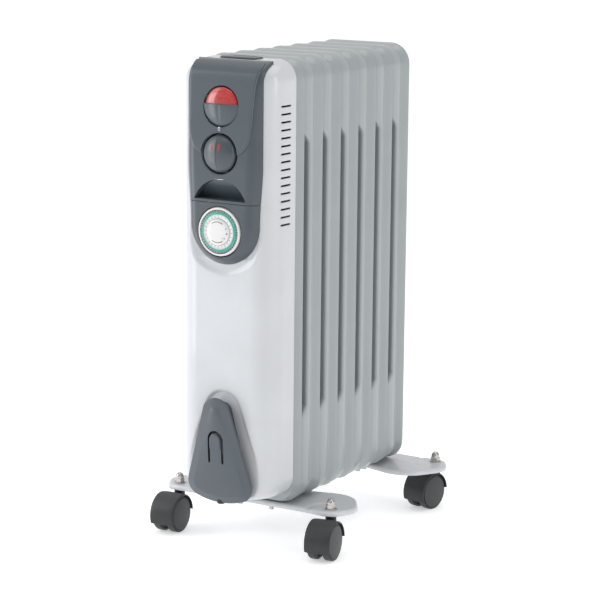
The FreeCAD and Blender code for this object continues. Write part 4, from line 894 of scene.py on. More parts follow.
def housing_openings(c):
    """Faces to leave out: the vents, the hole behind the panel and the grip's hole."""
    dz = ((c[:, 2] - VENT_FIRST + VENT_PITCH / 2) % VENT_PITCH) - VENT_PITCH / 2
    y_a, y_b = HOUSE_REAR - vent_a, FIN1_REAR - 36.5 - VENT_LENGTH / 2
    side = np.abs(c[:, 0]) > HOUSE_HALF - 3.0
    vent = (side & (np.abs(dz) < r1) & (c[:, 1] < y_a) & (c[:, 1] > y_b)
            & (c[:, 2] > VENT_FIRST - 3) & (c[:, 2] < VENT_FIRST + VENT_PITCH * 15 + 3))
    behind = ((hull_distance(c[:, 0], c[:, 2], PANEL_EDGE) < -7.0) & (c[:, 1] < FIN1_REAR - 42.5))
    grip = ((np.abs(c[:, 0]) < 23.5) & (c[:, 1] > FIN1_REAR - 39.5) & (c[:, 1] < FIN1_REAR - 21.0)
            & (c[:, 2] > 580.0))
    return vent | behind | grip


housing = tidy(mesh_piece("housing_shell", [(shell, False, False)], drop=housing_openings))
face_out(housing, (0, -1, 0))
wall = housing.modifiers.new("sheet", "SOLIDIFY")
wall.thickness, wall.offset = 1.3 * MM, -1.0
settle(housing, "radiator", "housing_enamel", paint_housing, "control_housing")

# %% [markdown]
# ## Control panel
# The panel is a dark moulding with a round lower end. Each row runs from the
# left edge over the bevel, across the face and down the right bevel. The rows
# follow the side profile upwards and bend back over the top of the housing.

# %% Panel surface
PANEL_PROFILE = [(-76.0, 300.0), (-76.0, 425.0), (-76.0, 500.0), (-74.9, 515.0), (-73.3, 530.0),
                 (-71.0, 553.0), (-68.9, 567.0), (-64.6, 577.0), (-57.8, 583.8), (-50.0, 587.6),
                 (-42.2, 589.2)]
profile_y, profile_z = np.array(PANEL_PROFILE).T
profile_run = np.r_[0, np.cumsum(np.hypot(np.diff(profile_y), np.diff(profile_z)))]
KNOB_Z = float(box_mm("thermostat_knob")[0][2] + box_mm("thermostat_knob")[1][2]) / 2
TIMER_Z = float(box_mm("timer_bezel")[0][2] + box_mm("timer_bezel")[1][2]) / 2
FACE_Y = FIN1_REAR - 76.0
LENS_Z, SEAM_Z, U_Z = 537.0, 425.0, 399.0
KNOB_HOLE, TIMER_HOLE, LENS_HOLE = 23.8, 28.95, 24.0
EDGE_HALF, FACE_HALF, BEVEL_DEPTH = 47.5, 39.6, 11.2
print("knob height %.1f, timer height %.1f" % (KNOB_Z, TIMER_Z))


def profile_point(run):
    """y, z and the inward normal of the side profile at a distance along it."""
    y = smooth_curve(np.stack([profile_run, profile_y], -1), run)
    z = smooth_curve(np.stack([profile_run, profile_z], -1), run)
    dy = smooth_curve(np.stack([profile_run, profile_y], -1), run + 0.5) - y
    dz = smooth_curve(np.stack([profile_run, profile_z], -1), run + 0.5) - z
    length = np.hypot(dy, dz) + 1e-9
    return FIN1_REAR + y, z, dz / length, -dy / length


def height_run(z):
    """Distance along the profile at which height z is reached."""
    return np.interp(z, profile_z, profile_run)


def edge_rows(base, mid, front, centre, soften, steps=5):
    """Half rows from the base edge over the bevel to the centre line. The corner at
    front is a quadratic curve (1-t)^2 a + 2t(1-t) front + t^2 b."""
    to_mid, to_centre = mid - front, centre - front
    lm = np.linalg.norm(to_mid, axis=-1, keepdims=True) + 1e-9
    lc = np.linalg.norm(to_centre, axis=-1, keepdims=True) + 1e-9
    a = front + to_mid / lm * np.minimum(soften, 0.45 * lm)
    b = front + to_centre / lc * np.minimum(soften, 0.45 * lc)
    t = np.linspace(0, 1, steps + 1)[:, None, None]
    corner = (1 - t) ** 2 * a + 2 * t * (1 - t) * front + t * t * b
    lines = [base, base + (mid - base) * 0.5, mid, mid + (a - mid) * 0.33, mid + (a - mid) * 0.66]
    lines += list(corner)
    lines += [b + (centre - b) * s for s in (0.08, 0.2, 0.35, 0.5, 0.65, 0.8, 0.9, 1.0)]
    return np.stack(lines, 1)


def whole_rows(base, mid, front, centre, soften):
    """Rows from the left edge to the right one: the half rows and the same mirrored."""
    half_rows = edge_rows(*(np.array(v, float) for v in (base, mid, front, centre)), soften)
    mirrored = half_rows[:, ::-1][:, 1:] * np.array([-1.0, 1.0, 1.0])
    return np.concatenate([half_rows, mirrored], axis=1)


def panel_rows(runs, angles):
    """Panel rows: first round the lower end by angle, then up the side by run."""
    base, mid, front, centre = [], [], [], []
    for angle in angles:
        s, c = math.sin(angle), math.cos(angle)
        mid.append((EDGE_HALF * s, MOAT_FLOOR, U_Z - EDGE_HALF * c))
        base.append((EDGE_HALF * s, MOAT_FLOOR + 5.0, U_Z - EDGE_HALF * c))
        front.append((FACE_HALF * s, FACE_Y, U_Z - FACE_HALF * c))
        centre.append((0.0, FACE_Y, U_Z - FACE_HALF * c))
    for run in runs:
        y, z, ny, nz = profile_point(run)
        depth = max(3.0, BEVEL_DEPTH - max(0.0, (z - 500.0)) * 0.094)
        half = EDGE_HALF + 3.5 * float(smoothstep(U_Z, U_Z + 70.0, z))
        face = FACE_HALF + 2.0 * float(smoothstep(U_Z, U_Z + 80.0, z))
        face = half - (half - face) * (depth / BEVEL_DEPTH)
        mid.append((half, y + ny * depth, z + nz * depth))
        base.append((half, y + ny * (depth + 4.0), z + nz * (depth + 4.0)))
        front.append((face, y, z))
        centre.append((0.0, y, z))
    return whole_rows(base, mid, front, centre, 6.0)


def hole_tool(plan):
    """A closed prism along y through the panel, from a closed outline of (x, z)
    points, for cutting a hole."""
    y_from, y_to = FACE_Y - 8.0, FACE_Y + 20.0
    rings = []
    middle = plan.mean(axis=0)
    for share, y in ((0.0, y_from), (1.0, y_from), (1.0, y_to), (0.0, y_to)):
        flat = middle + (plan - middle) * share
        rings.append(np.stack([flat[:, 0], np.full(len(flat), y), flat[:, 1]], -1))
    return tidy(mesh_piece("hole_tool", [(np.stack(rings), True, False)]))


def disc_plan(radius, z, count=128):
    """A circle of (x, z) points on the centre plane."""
    t = np.linspace(0, 2 * math.pi, count, endpoint=False)
    return np.stack([radius * np.cos(t), z + radius * np.sin(t)], -1)


def arch_plan(grow=0.0, count=48):
    """The finger pocket's outline: an arc over a flat base, clockwise."""
    half, low, rise = 35.0 + grow, 428.5 - grow, 24.0 + 2 * grow
    radius = (half * half + rise * rise) / (2 * rise)
    top = math.asin(half / radius)
    t = np.linspace(-top, top, count)
    curve = np.stack([radius * np.sin(t), low + rise - radius + radius * np.cos(t)], -1)
    base = np.stack([np.linspace(half, -half, 20)[1:-1], np.full(18, low)], -1)
    return np.concatenate([curve, base])


def thick_shell(name, grid, thickness):
    """A moulding wall: the grid made solid inwards."""
    piece = tidy(mesh_piece(name, [(grid, False, False)]), smooth=40)
    face_out(piece, (0, -1, 0))
    wall = piece.modifiers.new("wall", "SOLIDIFY")
    wall.thickness, wall.offset = thickness * MM, -1.0
    return baked(piece)


low_rows = panel_rows(height_run(np.linspace(U_Z + 1.0, SEAM_Z - 0.35, 12)),
                      np.linspace(0, math.pi / 2, 26))
panel_low = thick_shell("panel_lower_moulding", low_rows, 2.2)
cut_away(panel_low, hole_tool(disc_plan(TIMER_HOLE + 1.2, TIMER_Z)))
top_run = profile_run[-1]
high_rows = panel_rows(np.concatenate([height_run(np.linspace(SEAM_Z + 0.35, 560.0, 46)),
                                       np.linspace(height_run(562.0), top_run, 26)]), [])
panel_high = thick_shell("panel_upper_moulding", high_rows, 2.2)
cut_away(panel_high,
         hole_tool(disc_plan(KNOB_HOLE + 1.2, KNOB_Z)),
         hole_tool(disc_plan(LENS_HOLE + 1.5, LENS_Z)),
         hole_tool(arch_plan(0.8)))
for piece in (panel_low, panel_high):
    tidy(piece, smooth=30)
settle(panel_low, "radiator", "panel_plastic", plastic_panel, "panel_lower")
settle(panel_high, "radiator", "panel_plastic", plastic_panel)

# %% [markdown]
# Each opening of a real moulding has a small radius and a wall behind it. They
# are separate liners here: a lip that meets the face without a step, the wall,
# and a floor.

# %% Liners of the openings


def well_liner(name, hole, z, depth, floor_radius, lip=1.2):
    """Turned liner: flat lip, rounded edge, wall and floor, then back outside."""
    inner = rounded_path([(hole + lip + 0.6, FACE_Y), (hole, FACE_Y), (hole, FACE_Y + depth),
                          (floor_radius, FACE_Y + depth)], [0, lip, 0.8, 0], 5)
    outer = rounded_path([(floor_radius, FACE_Y + depth + 1.6), (hole + 1.6, FACE_Y + depth + 1.6),
                          (hole + 1.6, FACE_Y + 1.4), (hole + lip + 0.6, FACE_Y + 1.2)],
                         [0, 0.8, 0.1, 0], 4)
    loop = np.concatenate([inner, outer, inner[:1]])
    return tidy(mesh_piece(name, [(turned(loop, (0, 1, 0), (0, 0, z), 128), True, False)]))


knob_well = well_liner("knob_well", KNOB_HOLE, KNOB_Z, 10.0, 5.0)
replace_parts(settle(knob_well, "radiator", "panel_plastic", plastic_panel), "panel_upper")

POCKET_DEPTH = 18.0


def pocket_surface():
    """Finger pocket: the arch outline goes inwards to a ramp that is deepest at its
    base, y = face + 1.5 + 16.5 * (455 - z) / 27, and closes over the ramp."""
    plan = arch_plan(0.0)
    wide = arch_plan(1.6)
    middle = np.array([0.0, 437.0])

    def ramp(z):
        return FACE_Y + 1.5 + (POCKET_DEPTH - 1.5) * np.clip((455.0 - z) / 27.0, 0, 1)

    rings = [np.stack([wide[:, 0], np.full(len(wide), FACE_Y), wide[:, 1]], -1)]
    for share, drop in ((0.75, 0.02), (0.4, 0.2), (0.15, 0.5), (0.0, 1.0)):
        p = plan + (wide - plan) * share * 0.6
        rings.append(np.stack([p[:, 0], np.minimum(FACE_Y + drop, ramp(p[:, 1])), p[:, 1]], -1))
    back = ramp(plan[:, 1])
    for share in (0.3, 0.6, 0.85, 0.96):
        rings.append(np.stack([plan[:, 0], FACE_Y + 1.0 + (back - FACE_Y - 1.0) * share,
                               plan[:, 1]], -1))
    for share in (0.985, 0.95, 0.9, 0.8, 0.65, 0.5, 0.35, 0.2, 0.0):
        p = middle + (plan - middle) * share
        rings.append(np.stack([p[:, 0], ramp(p[:, 1]), p[:, 1]], -1))
    return np.stack(rings)


pocket = tidy(mesh_piece("finger_pocket", [(pocket_surface(), True, False)]), outward=False,
              smooth=40)
face_out(pocket, (0, -1, 0))
back_wall = pocket.modifiers.new("wall", "SOLIDIFY")
back_wall.thickness, back_wall.offset = 1.5 * MM, -1.0
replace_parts(settle(pocket, "radiator", "panel_plastic", plastic_panel), "panel_upper")
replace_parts(panel_high, "panel_upper")

# %% [markdown]
# ## Shield and lamp hood
# A thinner plate lies on the upper panel and runs down to the knob in two
# points. Below the red lamp it swells into half a dome.

# %% Shield
SHIELD_HALF = [(483.0, 27.4), (486.0, 32.0), (490.0, 35.6), (496.0, 38.8), (503.0, 40.9),
               (512.0, 42.2), (530.0, 43.2), (553.0, 44.3), (570.0, 45.8), (580.0, 47.2),
               (590.0, 48.4)]
SHIELD_RISE = 1.5


def shield_rows(levels):
    """Rows of the plate: its half width at each height, a soft edge, a faint crown."""
    base, mid, front, centre = [], [], [], []
    for z_level in levels:
        y, z, ny, nz = profile_point(height_run(z_level))
        half = float(smooth_curve(SHIELD_HALF, z_level))
        base.append((half, y + ny * 1.0, z + nz * 1.0))
        mid.append((half, y - ny * 0.3, z - nz * 0.3))
        front.append((half - 0.7, y - ny * SHIELD_RISE, z - nz * SHIELD_RISE))
        centre.append((0.0, y - ny * SHIELD_RISE, z - nz * SHIELD_RISE))
    return whole_rows(base, mid, front, centre, 1.4)


z_levels = np.concatenate([np.linspace(483.0, 520.0, 30), np.linspace(523.0, 565.0, 16),
                           np.linspace(567.0, 586.2, 16)])
shield = thick_shell("shield_plate", shield_rows(z_levels), 1.3)
cut_away(shield,
         hole_tool(disc_plan(KNOB_HOLE + 0.9, KNOB_Z)),
         hole_tool(disc_plan(LENS_HOLE, LENS_Z)))
tidy(shield, smooth=30)
settle(shield, "radiator", "shield_plastic", plastic_shield, "panel_shield")

# %% Lamp hood and lens
HOOD_BASE = FIN1_REAR - 72.0
HOOD_R, HOOD_HEIGHT = 25.2, 8.6


def hood_rows(thickness):
    """Half dome: y = base - height * (1 - (r / R)^2)^0.75 over chords of a disc that
    stops 2.5 mm above its centre."""
    z = np.concatenate([-HOOD_R * np.cos(np.linspace(0, math.pi / 2, 26)), [1.0, 2.5]])
    half = np.sqrt(np.clip(HOOD_R ** 2 - z ** 2, 0, None))
    s = np.sin(np.linspace(-math.pi / 2, math.pi / 2, 49))
    x = half[:, None] * s[None]
    r2 = np.clip((x ** 2 + z[:, None] ** 2) / HOOD_R ** 2, 0, 1)
    crease = 0.5 * np.exp(-(x / 1.6) ** 2) * (1 - r2)
    lift = (HOOD_HEIGHT - thickness) * (1 - r2) ** 0.75 - crease
    y = HOOD_BASE - lift + 1.2 * thickness
    return np.stack([x, y, LENS_Z + np.broadcast_to(z[:, None], x.shape)], -1)


outer, inner = hood_rows(0.0), hood_rows(1.8)
lip = np.stack([outer[-1] + (inner[-1] - outer[-1]) * s + np.array([0, 0,
                                                                    0.5 * math.sin(math.pi * s)])
                for s in np.linspace(0, 1, 5)])
hood = mesh_piece("lamp_hood", [(outer, False, False), (inner[::-1], False, False),
                                (lip, False, False)])
tidy(hood, smooth=50)
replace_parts(settle(hood, "radiator", "shield_plastic", plastic_shield), "panel_shield")

lens_r = 22.3
lens_profile = [(0.0, HOOD_BASE - 5.0)]
for angle in np.linspace(0.08, 1.0, 22):
    lens_profile.append((lens_r * math.sin(angle * math.pi / 2),
                         HOOD_BASE + 1.0 - 6.0 * math.cos(angle * math.pi / 2) ** 0.9))
lens_profile += [(lens_r, HOOD_BASE + 7.0), (lens_r - 1.8, HOOD_BASE + 7.0),
                 (lens_r - 1.8, HOOD_BASE + 2.0), (0.0, HOOD_BASE - 2.0)]
lens = turned_piece("lamp_lens", lens_profile, (0, 1, 0), (0, 0, LENS_Z), 96)
settle(lens, "radiator", "lens_red", paint_lens, "indicator_lens")
reflector = turned_piece("lamp_reflector", rounded_path(
    [(0.0, HOOD_BASE + 9.0), (18.0, HOOD_BASE + 7.6), (25.0, HOOD_BASE + 5.0),
     (25.4, HOOD_BASE + 9.0),
     (18.0, HOOD_BASE + 10.4), (0.0, HOOD_BASE + 10.4)], [0, 3, 0, 0, 0, 0]),
    (0, 1, 0), (0, 0, LENS_Z), 64)
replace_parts(settle(reflector, "radiator", "panel_plastic", plastic_black), "panel_upper")

# %% [markdown]
# ## Thermostat knob
# The knob is a low dome with a crease down its middle, where two slightly turned
# halves meet. Its height is one formula over the disc, so the two red marks can
# lie on it exactly.

# %% Knob
KNOB_BASE = FACE_Y + 1.5
KNOB_R, KNOB_RISE = 21.9, 13.2


def knob_height(x, z):
    """Dome rise * (1 - (r / R)^2.6)^0.55, less a fall of 0.045 |x|, plus a fine ridge
    0.7 * exp(-(x / 0.9)^2) that fades at the rim."""
    share = np.clip(np.hypot(x, z) / KNOB_R, 0, 1)
    dome = (1 - share ** 2.6) ** 0.55
    ridge = 0.75 * np.exp(-(x / 0.9) ** 2) * np.clip(1 - share ** 6, 0, 1)
    return (KNOB_RISE - 1.3) * dome - 0.05 * np.abs(x) * dome + ridge


rings, spokes = 40, 144
share = np.sin(np.linspace(0, math.pi / 2, rings))
angle = np.linspace(0, 2 * math.pi, spokes, endpoint=False)
kx, kz = KNOB_R * share[:, None] * np.cos(angle), KNOB_R * share[:, None] * np.sin(angle)
dome = np.stack([kx, KNOB_BASE - knob_height(kx, kz), KNOB_Z + kz], -1)
side = np.stack([dome[-1] + np.array([0, step, 0]) for step in (1.5, 3.5, 5.6)])
inner_ring = np.stack([np.stack([f * kx[-1], np.full(spokes, KNOB_BASE + y), KNOB_Z + f * kz[-1]],
                                -1)
                       for f, y in ((0.985, 6.0), (0.90, 6.0), (0.88, 1.8), (0.26, 1.6),
                                    (0.25, 6.0),
                                    (0.14, 6.0), (0.14, 0.4), (0.0, 0.4))])
knob = tidy(mesh_piece("knob_cap", [(np.concatenate([dome, side, inner_ring]), True, False)]),
            smooth=40)
settle(knob, "knob", "knob_plastic", plastic_knob, "thermostat_knob")


def knob_mark(name, x_mid, z_low, z_high, half):
    """A rounded mark laid 0.12 mm over the dome."""
    u = np.linspace(-1, 1, 9)
    v = np.linspace(0, 1, 25)
    reach = half * np.sqrt(np.clip(1 - np.abs(2 * v - 1) ** 6, 0, 1))
    x = x_mid + u[None] * reach[:, None]
    z = z_low + (z_high - z_low) * np.broadcast_to(v[:, None], x.shape)
    rim = 0.12 * (1 - np.abs(u[None]) ** 4) * (1 - np.abs(2 * v[:, None] - 1) ** 8) + 0.01
    y = KNOB_BASE - knob_height(x, z) - rim
    mark = tidy(mesh_piece(name, [(np.stack([x, y, KNOB_Z + z], -1), False, False)]), outward=False)
    face_out(mark, (0, -1, 0))
    return settle(mark, "knob", "knob_plastic", print_red)


knob_mark("knob_mark_left", -4.6, 4.6, 12.4, 0.95)
knob_mark("knob_mark_right", 4.6, 4.6, 12.4, 0.95)

# %% [markdown]
# ## Printing on the panel
# The printed scale is a thin film: an arc under the knob, a nought above it and
# one and two strokes at its ends. Each mark is a ribbon of a constant width laid
# a few hundredths of a millimetre over the face.


# %% Printed marks
def ribbon(path, width, y, closed=False):
    """A flat ribbon in x and z along path, width wide, at depth y."""
    path = np.asarray(path, float)
    if closed:
        along = np.roll(path, -1, 0) - np.roll(path, 1, 0)
    else:
        along = np.gradient(path, axis=0)
    along /= np.linalg.norm(along, axis=-1, keepdims=True)
    across = np.stack([-along[:, 1], along[:, 0]], -1) * width / 2
    rows = [path + across, path - across]
    if closed:
        rows = [np.concatenate([r, r[:1]]) for r in rows]
    return np.stack([np.stack([r[:, 0], np.full(len(r), y), r[:, 1]], -1) for r in rows])


def circle_path(radius, z, start, stop, count=48, squeeze=1.0):
    """Points of an arc about the centre plane, angles in degrees from +x."""
    t = np.radians(np.linspace(start, stop, count))
    return np.stack([squeeze * radius * np.cos(t), z + radius * np.sin(t)], -1)


def printed(name, ribbons, material, body="radiator"):
    """Several ribbons as one film that faces the front."""
    film = tidy(mesh_piece(name, [(r, False, False) for r in ribbons]), outward=False)
    face_out(film, (0, -1, 0))
    return settle(film, body, "timer_print", material)


FILM = FACE_Y - 0.05
SHIELD_FILM = FACE_Y - SHIELD_RISE - 0.05
MARK_R = KNOB_HOLE + 6.2
strokes = [ribbon(circle_path(MARK_R, KNOB_Z, a, b, 24), 0.55, FILM) for a,
           b in ((206, 252), (263, 314))]
for k in (-1.2, 0.0, 1.2):
    a = math.radians(257.5)
    x, z = MARK_R * math.cos(a) + k, KNOB_Z + MARK_R * math.sin(a)
    strokes.append(ribbon([(x, z - 0.9), (x, z), (x, z + 0.9)], 0.5, FILM))
for angle_deg, count in ((200, 1), (320, 2)):
    a = math.radians(angle_deg)
    cx, cz = (MARK_R + 1.2) * math.cos(a), KNOB_Z + (MARK_R + 1.2) * math.sin(a)
    for k in range(count):
        x = cx + (k - (count - 1) / 2) * 1.5
        strokes.append(ribbon([(x, cz - 1.6), (x, cz), (x, cz + 1.6)], 0.55, FILM))
printed("scale_print", strokes, print_white)
nought = circle_path(1.9, KNOB_Z + KNOB_HOLE + 5.2, 0, 352.5, 48, 0.62)
printed("nought_print", [ribbon(nought, 0.6, SHIELD_FILM, closed=True)], print_white)

# %% [markdown]
# ## Timer
# The timer is a day wheel. A white rim stays still. Inside it turn the ring of
# small tappets, a green band and a ring with 24 hours. The white disc in the
# middle stays still and carries the arrow that points at the hour.

# %% Timer rim and dial
TIMER_FACE = float(box_mm("timer_bezel")[0][1])
rim_profile = rounded_path(
    [(25.95, TIMER_FACE + 12.0), (25.95, TIMER_FACE + 0.4), (26.6, TIMER_FACE),
     (28.0, TIMER_FACE + 0.1),
     (28.6, TIMER_FACE + 1.6), (28.6, TIMER_FACE + 12.0), (25.95, TIMER_FACE + 12.0)],
    [0, 0.3, 0.4, 0.7, 0.7, 0, 0], 4)
floor_profile = [(25.9, TIMER_FACE + 10.0), (25.9, TIMER_FACE + 12.0), (3.35, TIMER_FACE + 12.0),
                 (3.35, TIMER_FACE + 10.0), (25.9, TIMER_FACE + 10.0)]
rim = mesh_piece("timer_rim", [(turned(rim_profile, (0, 1, 0), (0, 0, TIMER_Z), 144), True, False),
                               (turned(floor_profile, (0, 1, 0), (0, 0, TIMER_Z), 64), True, False)])
settle(tidy(rim), "radiator", "timer_white", plastic_white, "timer_bezel")

dial_profile = rounded_path(
    [(25.3, TIMER_FACE + 9.4), (25.3, TIMER_FACE + 3.6), (23.2, TIMER_FACE + 3.6),
     (23.2, TIMER_FACE - 0.2),
     (20.4, TIMER_FACE - 0.6), (20.3, TIMER_FACE - 0.2), (15.7, TIMER_FACE - 0.2), (15.7,
                                                                                    TIMER_FACE + 2.4),
     (4.1, TIMER_FACE + 2.4), (4.1, TIMER_FACE + 9.4), (25.3, TIMER_FACE + 9.4)],
    [0, 0.3, 0.1, 0.5, 0.3, 0.1, 0.4, 0.2, 0.2, 0.2, 0], 3)
dial = turned_piece("timer_wheel", dial_profile, (0, 1, 0), (0, 0, TIMER_Z), 144)
settle(dial, "timer_wheel", "timer_white", plastic_white, "timer_dial")
band_profile = rounded_path(
    [(20.6, TIMER_FACE), (20.6, TIMER_FACE - 0.78), (22.9, TIMER_FACE - 0.38),
     (23.45, TIMER_FACE + 0.6),
     (23.45, TIMER_FACE + 2.4), (20.6, TIMER_FACE + 2.4), (20.6, TIMER_FACE)],
    [0, 0.15, 0.5, 0.3, 0.1, 0.1, 0], 3)
band = turned_piece("timer_band", band_profile, (0, 1, 0), (0, 0, TIMER_Z), 144)
settle(band, "timer_wheel", "timer_print", plastic_teal)

# %% Tappets
TAPPETS = 48


def tappet_grid():
    """One tappet: a rounded bar whose top slopes, as a loop swept in five steps."""
    loop = rounded_path([(-0.72, 3.6), (-0.72, 0.5), (0.72, 0.5), (0.72, 3.6)], [0, 0.35, 0.35, 0],
                        2)
    radii = np.array([23.5, 23.55, 24.4, 25.2, 25.25])
    sink = np.array([0.35, 0.0, 0.05, 0.25, 0.6])
    rings = []
    for radius, down in zip(radii, sink):
        rings.append(np.stack([loop[:, 0], TIMER_FACE + np.minimum(loop[:, 1] + down, 3.6),
                               np.full(len(loop), radius)], -1))
    first = np.broadcast_to(rings[0].mean(0), rings[0].shape)
    last = np.broadcast_to(rings[-1].mean(0), rings[-1].shape)
    return np.stack([first] + rings + [last])


one = tappet_grid()
tappets = []
for k in range(TAPPETS):
    a = 2 * math.pi * k / TAPPETS
    turn = np.array([[math.cos(a), 0, math.sin(a)], [0, 1, 0], [-math.sin(a), 0, math.cos(a)]])
    tappets.append((one @ turn.T + np.array([0, 0, TIMER_Z]), True, False))
ring_of_tappets = tidy(mesh_piece("timer_tappet_ring", tappets))
settle(ring_of_tappets, "timer_wheel", "tappet_plastic", plastic_tappet, "timer_tappets")

# %% Hour ring printing
HOUR_FILM = TIMER_FACE - 0.24
ticks = []
for k in range(96):
    a = math.radians(90 - 360.0 * k / 96)
    long = k % 4 == 0
    inner_end, outer_end = (18.6 if long else 19.3), 20.2
    tick = np.array([(math.cos(a) * r, TIMER_Z + math.sin(a) * r) for r in (inner_end, 19.7,
                                                                            outer_end)])
    ticks.append(ribbon(tick, 0.34 if long else 0.2, HOUR_FILM))
printed("hour_ticks", ticks, print_dark, body="timer_wheel")


def figure_mesh(text, size):
    """Flat mesh points and faces of a short number, centred, in millimetres."""
    curve = bpy.data.curves.new("figure", "FONT")
    curve.body, curve.size, curve.resolution_u = text, size, 3
    curve.align_x, curve.align_y = "CENTER", "CENTER"
    temp = bpy.data.objects.new("figure", curve)
    bpy.context.scene.collection.objects.link(temp)
    mesh = bpy.data.meshes.new_from_object(temp.evaluated_get(bpy.context.evaluated_depsgraph_get()))
    points = np.array([v.co[:] for v in mesh.vertices]).reshape(-1, 3)
    faces = [list(f.vertices) for f in mesh.polygons]
    bpy.data.objects.remove(temp)
    return points, faces


number_points, number_faces, start = [], [], 0
for hour in range(24):
    flat, faces = figure_mesh(str(hour + 1), 2.3)
    a = math.radians(90 - 15.0 * (hour + 1))
    outward = np.array([math.cos(a), math.sin(a)])
    sideways = np.array([math.sin(a), -math.cos(a)])
    plan = outward * 17.35 + flat[:, :1] * sideways + flat[:, 1:2] * outward
    number_points.append(np.stack([plan[:, 0], np.full(len(plan), HOUR_FILM),
                                   TIMER_Z + plan[:, 1]], -1))
    number_faces += [[v + start for v in face] for face in faces]
    start += len(flat)
number_mesh = bpy.data.meshes.new("hour_figures")
number_mesh.from_pydata((np.concatenate(number_points) * MM).tolist(), [], number_faces)
figures = bpy.data.objects.new("hour_figures", number_mesh)
bpy.context.scene.collection.objects.link(figures)
face_out(figures, (0, -1, 0))
settle(figures, "timer_wheel", "timer_print", print_dark)

# %% Centre disc
centre_profile = rounded_path(
    [(0.0, TIMER_FACE - 3.3), (9.0, TIMER_FACE - 3.2), (13.6, TIMER_FACE - 2.7),
     (15.4, TIMER_FACE - 1.2),
     (15.4, TIMER_FACE + 2.0), (4.0, TIMER_FACE + 2.0), (4.0, TIMER_FACE + 9.8), (3.0,
                                                                                  TIMER_FACE + 9.8),
     (3.0, TIMER_FACE + 11.9), (0.0, TIMER_FACE + 11.9)],
    [0, 8, 3, 0.7, 0.3, 0.1, 0.2, 0.1, 0.2, 0], 4)
disc = turned_piece("timer_disc", centre_profile, (0, 1, 0), (0, 0, TIMER_Z), 128)
settle(disc, "radiator", "timer_white", plastic_white, "timer_centre")


def disc_y(r):
    """Face of the centre disc at radius r, 0.06 mm in front of it."""
    return TIMER_FACE - np.interp(r, [0, 9.0, 13.6, 15.4], [3.3, 3.22, 2.74, 1.3]) - 0.07


def curved_ribbon(radius, start_deg, stop_deg, width, taper=False):
    """Ribbon along an arc on the disc; with taper it runs to a point."""
    t = np.radians(np.linspace(start_deg, stop_deg, 40))
    half = np.full(40, width / 2)
    if taper:
        half = np.interp(np.arange(40), [0, 33, 34, 39], [width / 2, width / 2, width, 0.02])
    rings = []
    for sign in (1, -1):
        r = radius + sign * half
        rings.append(np.stack([r * np.cos(t), disc_y(r), TIMER_Z + r * np.sin(t)], -1))
    return np.stack(rings)


def dot(radius, angle_deg, size, corners=20, pull=1.0):
    """A small filled shape on the disc at a polar place."""
    a = math.radians(angle_deg)
    t = np.linspace(0, 2 * math.pi, corners + 1)
    x = radius * math.cos(a) + size * pull * np.cos(t)
    z = radius * math.sin(a) + size * np.sin(t)
    y = np.full(len(t), float(disc_y(radius)))
    ring = np.stack([x, y, TIMER_Z + z], -1)
    return np.stack([ring, np.broadcast_to(ring[:-1].mean(0), ring.shape)])


marks = [curved_ribbon(12.2, 128, 52, 0.75, True), curved_ribbon(12.2, 232, 308, 0.75, True),
         dot(12.6, 22, 0.75), dot(13.0, -4, 1.5, 3, 1.1), dot(10.4, -40, 0.6),
         dot(12.0, -33, 0.9, 4, 0.7)]
printed("disc_print", marks, print_dark)
# %% [markdown]
# ## Cord cover and top grip
# The cover is a leaning flange on a narrower neck, so a cord can be wound behind
# it. Its outline is a rounded triangle of tangent arcs and lines with always the
# same number of points, so outlines of different sizes join into one clean grid.
# A long bevel leads to a crisp crease, and the face inside it is slightly crowned.


# %% Cord cover
def teardrop(apex_r, corner_x, corner_z, corner_r, bottom_z):
    """Closed outline of a rounded triangle with its apex circle at z 176. The side
    line touches both circles, n . p = n . c + r; the bottom is one flat arc."""
    dx, dz = corner_x, corner_z - 176.0
    lean = math.atan2(dz, dx) + math.acos((apex_r - corner_r) / math.hypot(dx, dz))
    drop = math.radians(-62.0)
    end = np.array([corner_x + corner_r * math.cos(drop), corner_z + corner_r * math.sin(drop)])
    sag = end[1] - bottom_z
    bend = (end[0] ** 2 + sag ** 2) / (2 * sag)
    reach = math.asin(end[0] / bend)
    t = np.linspace(0, reach, 18)[:-1]
    low = np.stack([bend * np.sin(t), bottom_z + bend - bend * np.cos(t)], -1)
    t = np.linspace(drop, lean, 20)
    corner = np.array([corner_x, corner_z]) + corner_r * np.stack([np.cos(t), np.sin(t)], -1)
    apex_start = np.array([0, 176.0]) + apex_r * np.array([math.cos(lean), math.sin(lean)])
    side = corner[-1] + (apex_start - corner[-1]) * np.linspace(0, 1, 30)[1:-1, None]
    t = np.linspace(lean, math.pi / 2, 18)
    apex = np.array([0, 176.0]) + apex_r * np.stack([np.cos(t), np.sin(t)], -1)
    half = np.concatenate([low, corner, side, apex])
    mirrored = half[1:-1][::-1] * np.array([-1.0, 1.0])
    return np.concatenate([half, mirrored])


# Outline (apex r, corner x, corner z, corner r, bottom z), depth at z 88, lean.
NECK = (11.0, 18.0, 92.0, 16.0, 67.0), MOAT_FLOOR + 0.3, 0.0
NECK_END = (11.0, 18.0, 92.0, 16.0, 67.0), FIN1_REAR - 70.6, 0.09
RIM_REAR = (18.7, 26.5, 88.0, 17.9, 65.6), FIN1_REAR - 71.5, 0.09
SHOULDER = (19.3, 26.5, 88.0, 18.5, 65.0), FIN1_REAR - 74.6, 0.09
CREASE = (8.0, 23.0, 89.0, 10.8, 74.0), FIN1_REAR - 78.6, 0.07
CROWN = 2.2


def lean_y(stage, z):
    """Depth of a leaning plane at height z: y0 - lean * (z - 88)."""
    return stage[1] - stage[2] * (z - 88.0)


def cover_ring(stage):
    """An outline on its leaning plane, as x, y, z points."""
    flat = teardrop(*stage[0])
    return np.stack([flat[:, 0], lean_y(stage, flat[:, 1]), flat[:, 1]], -1)


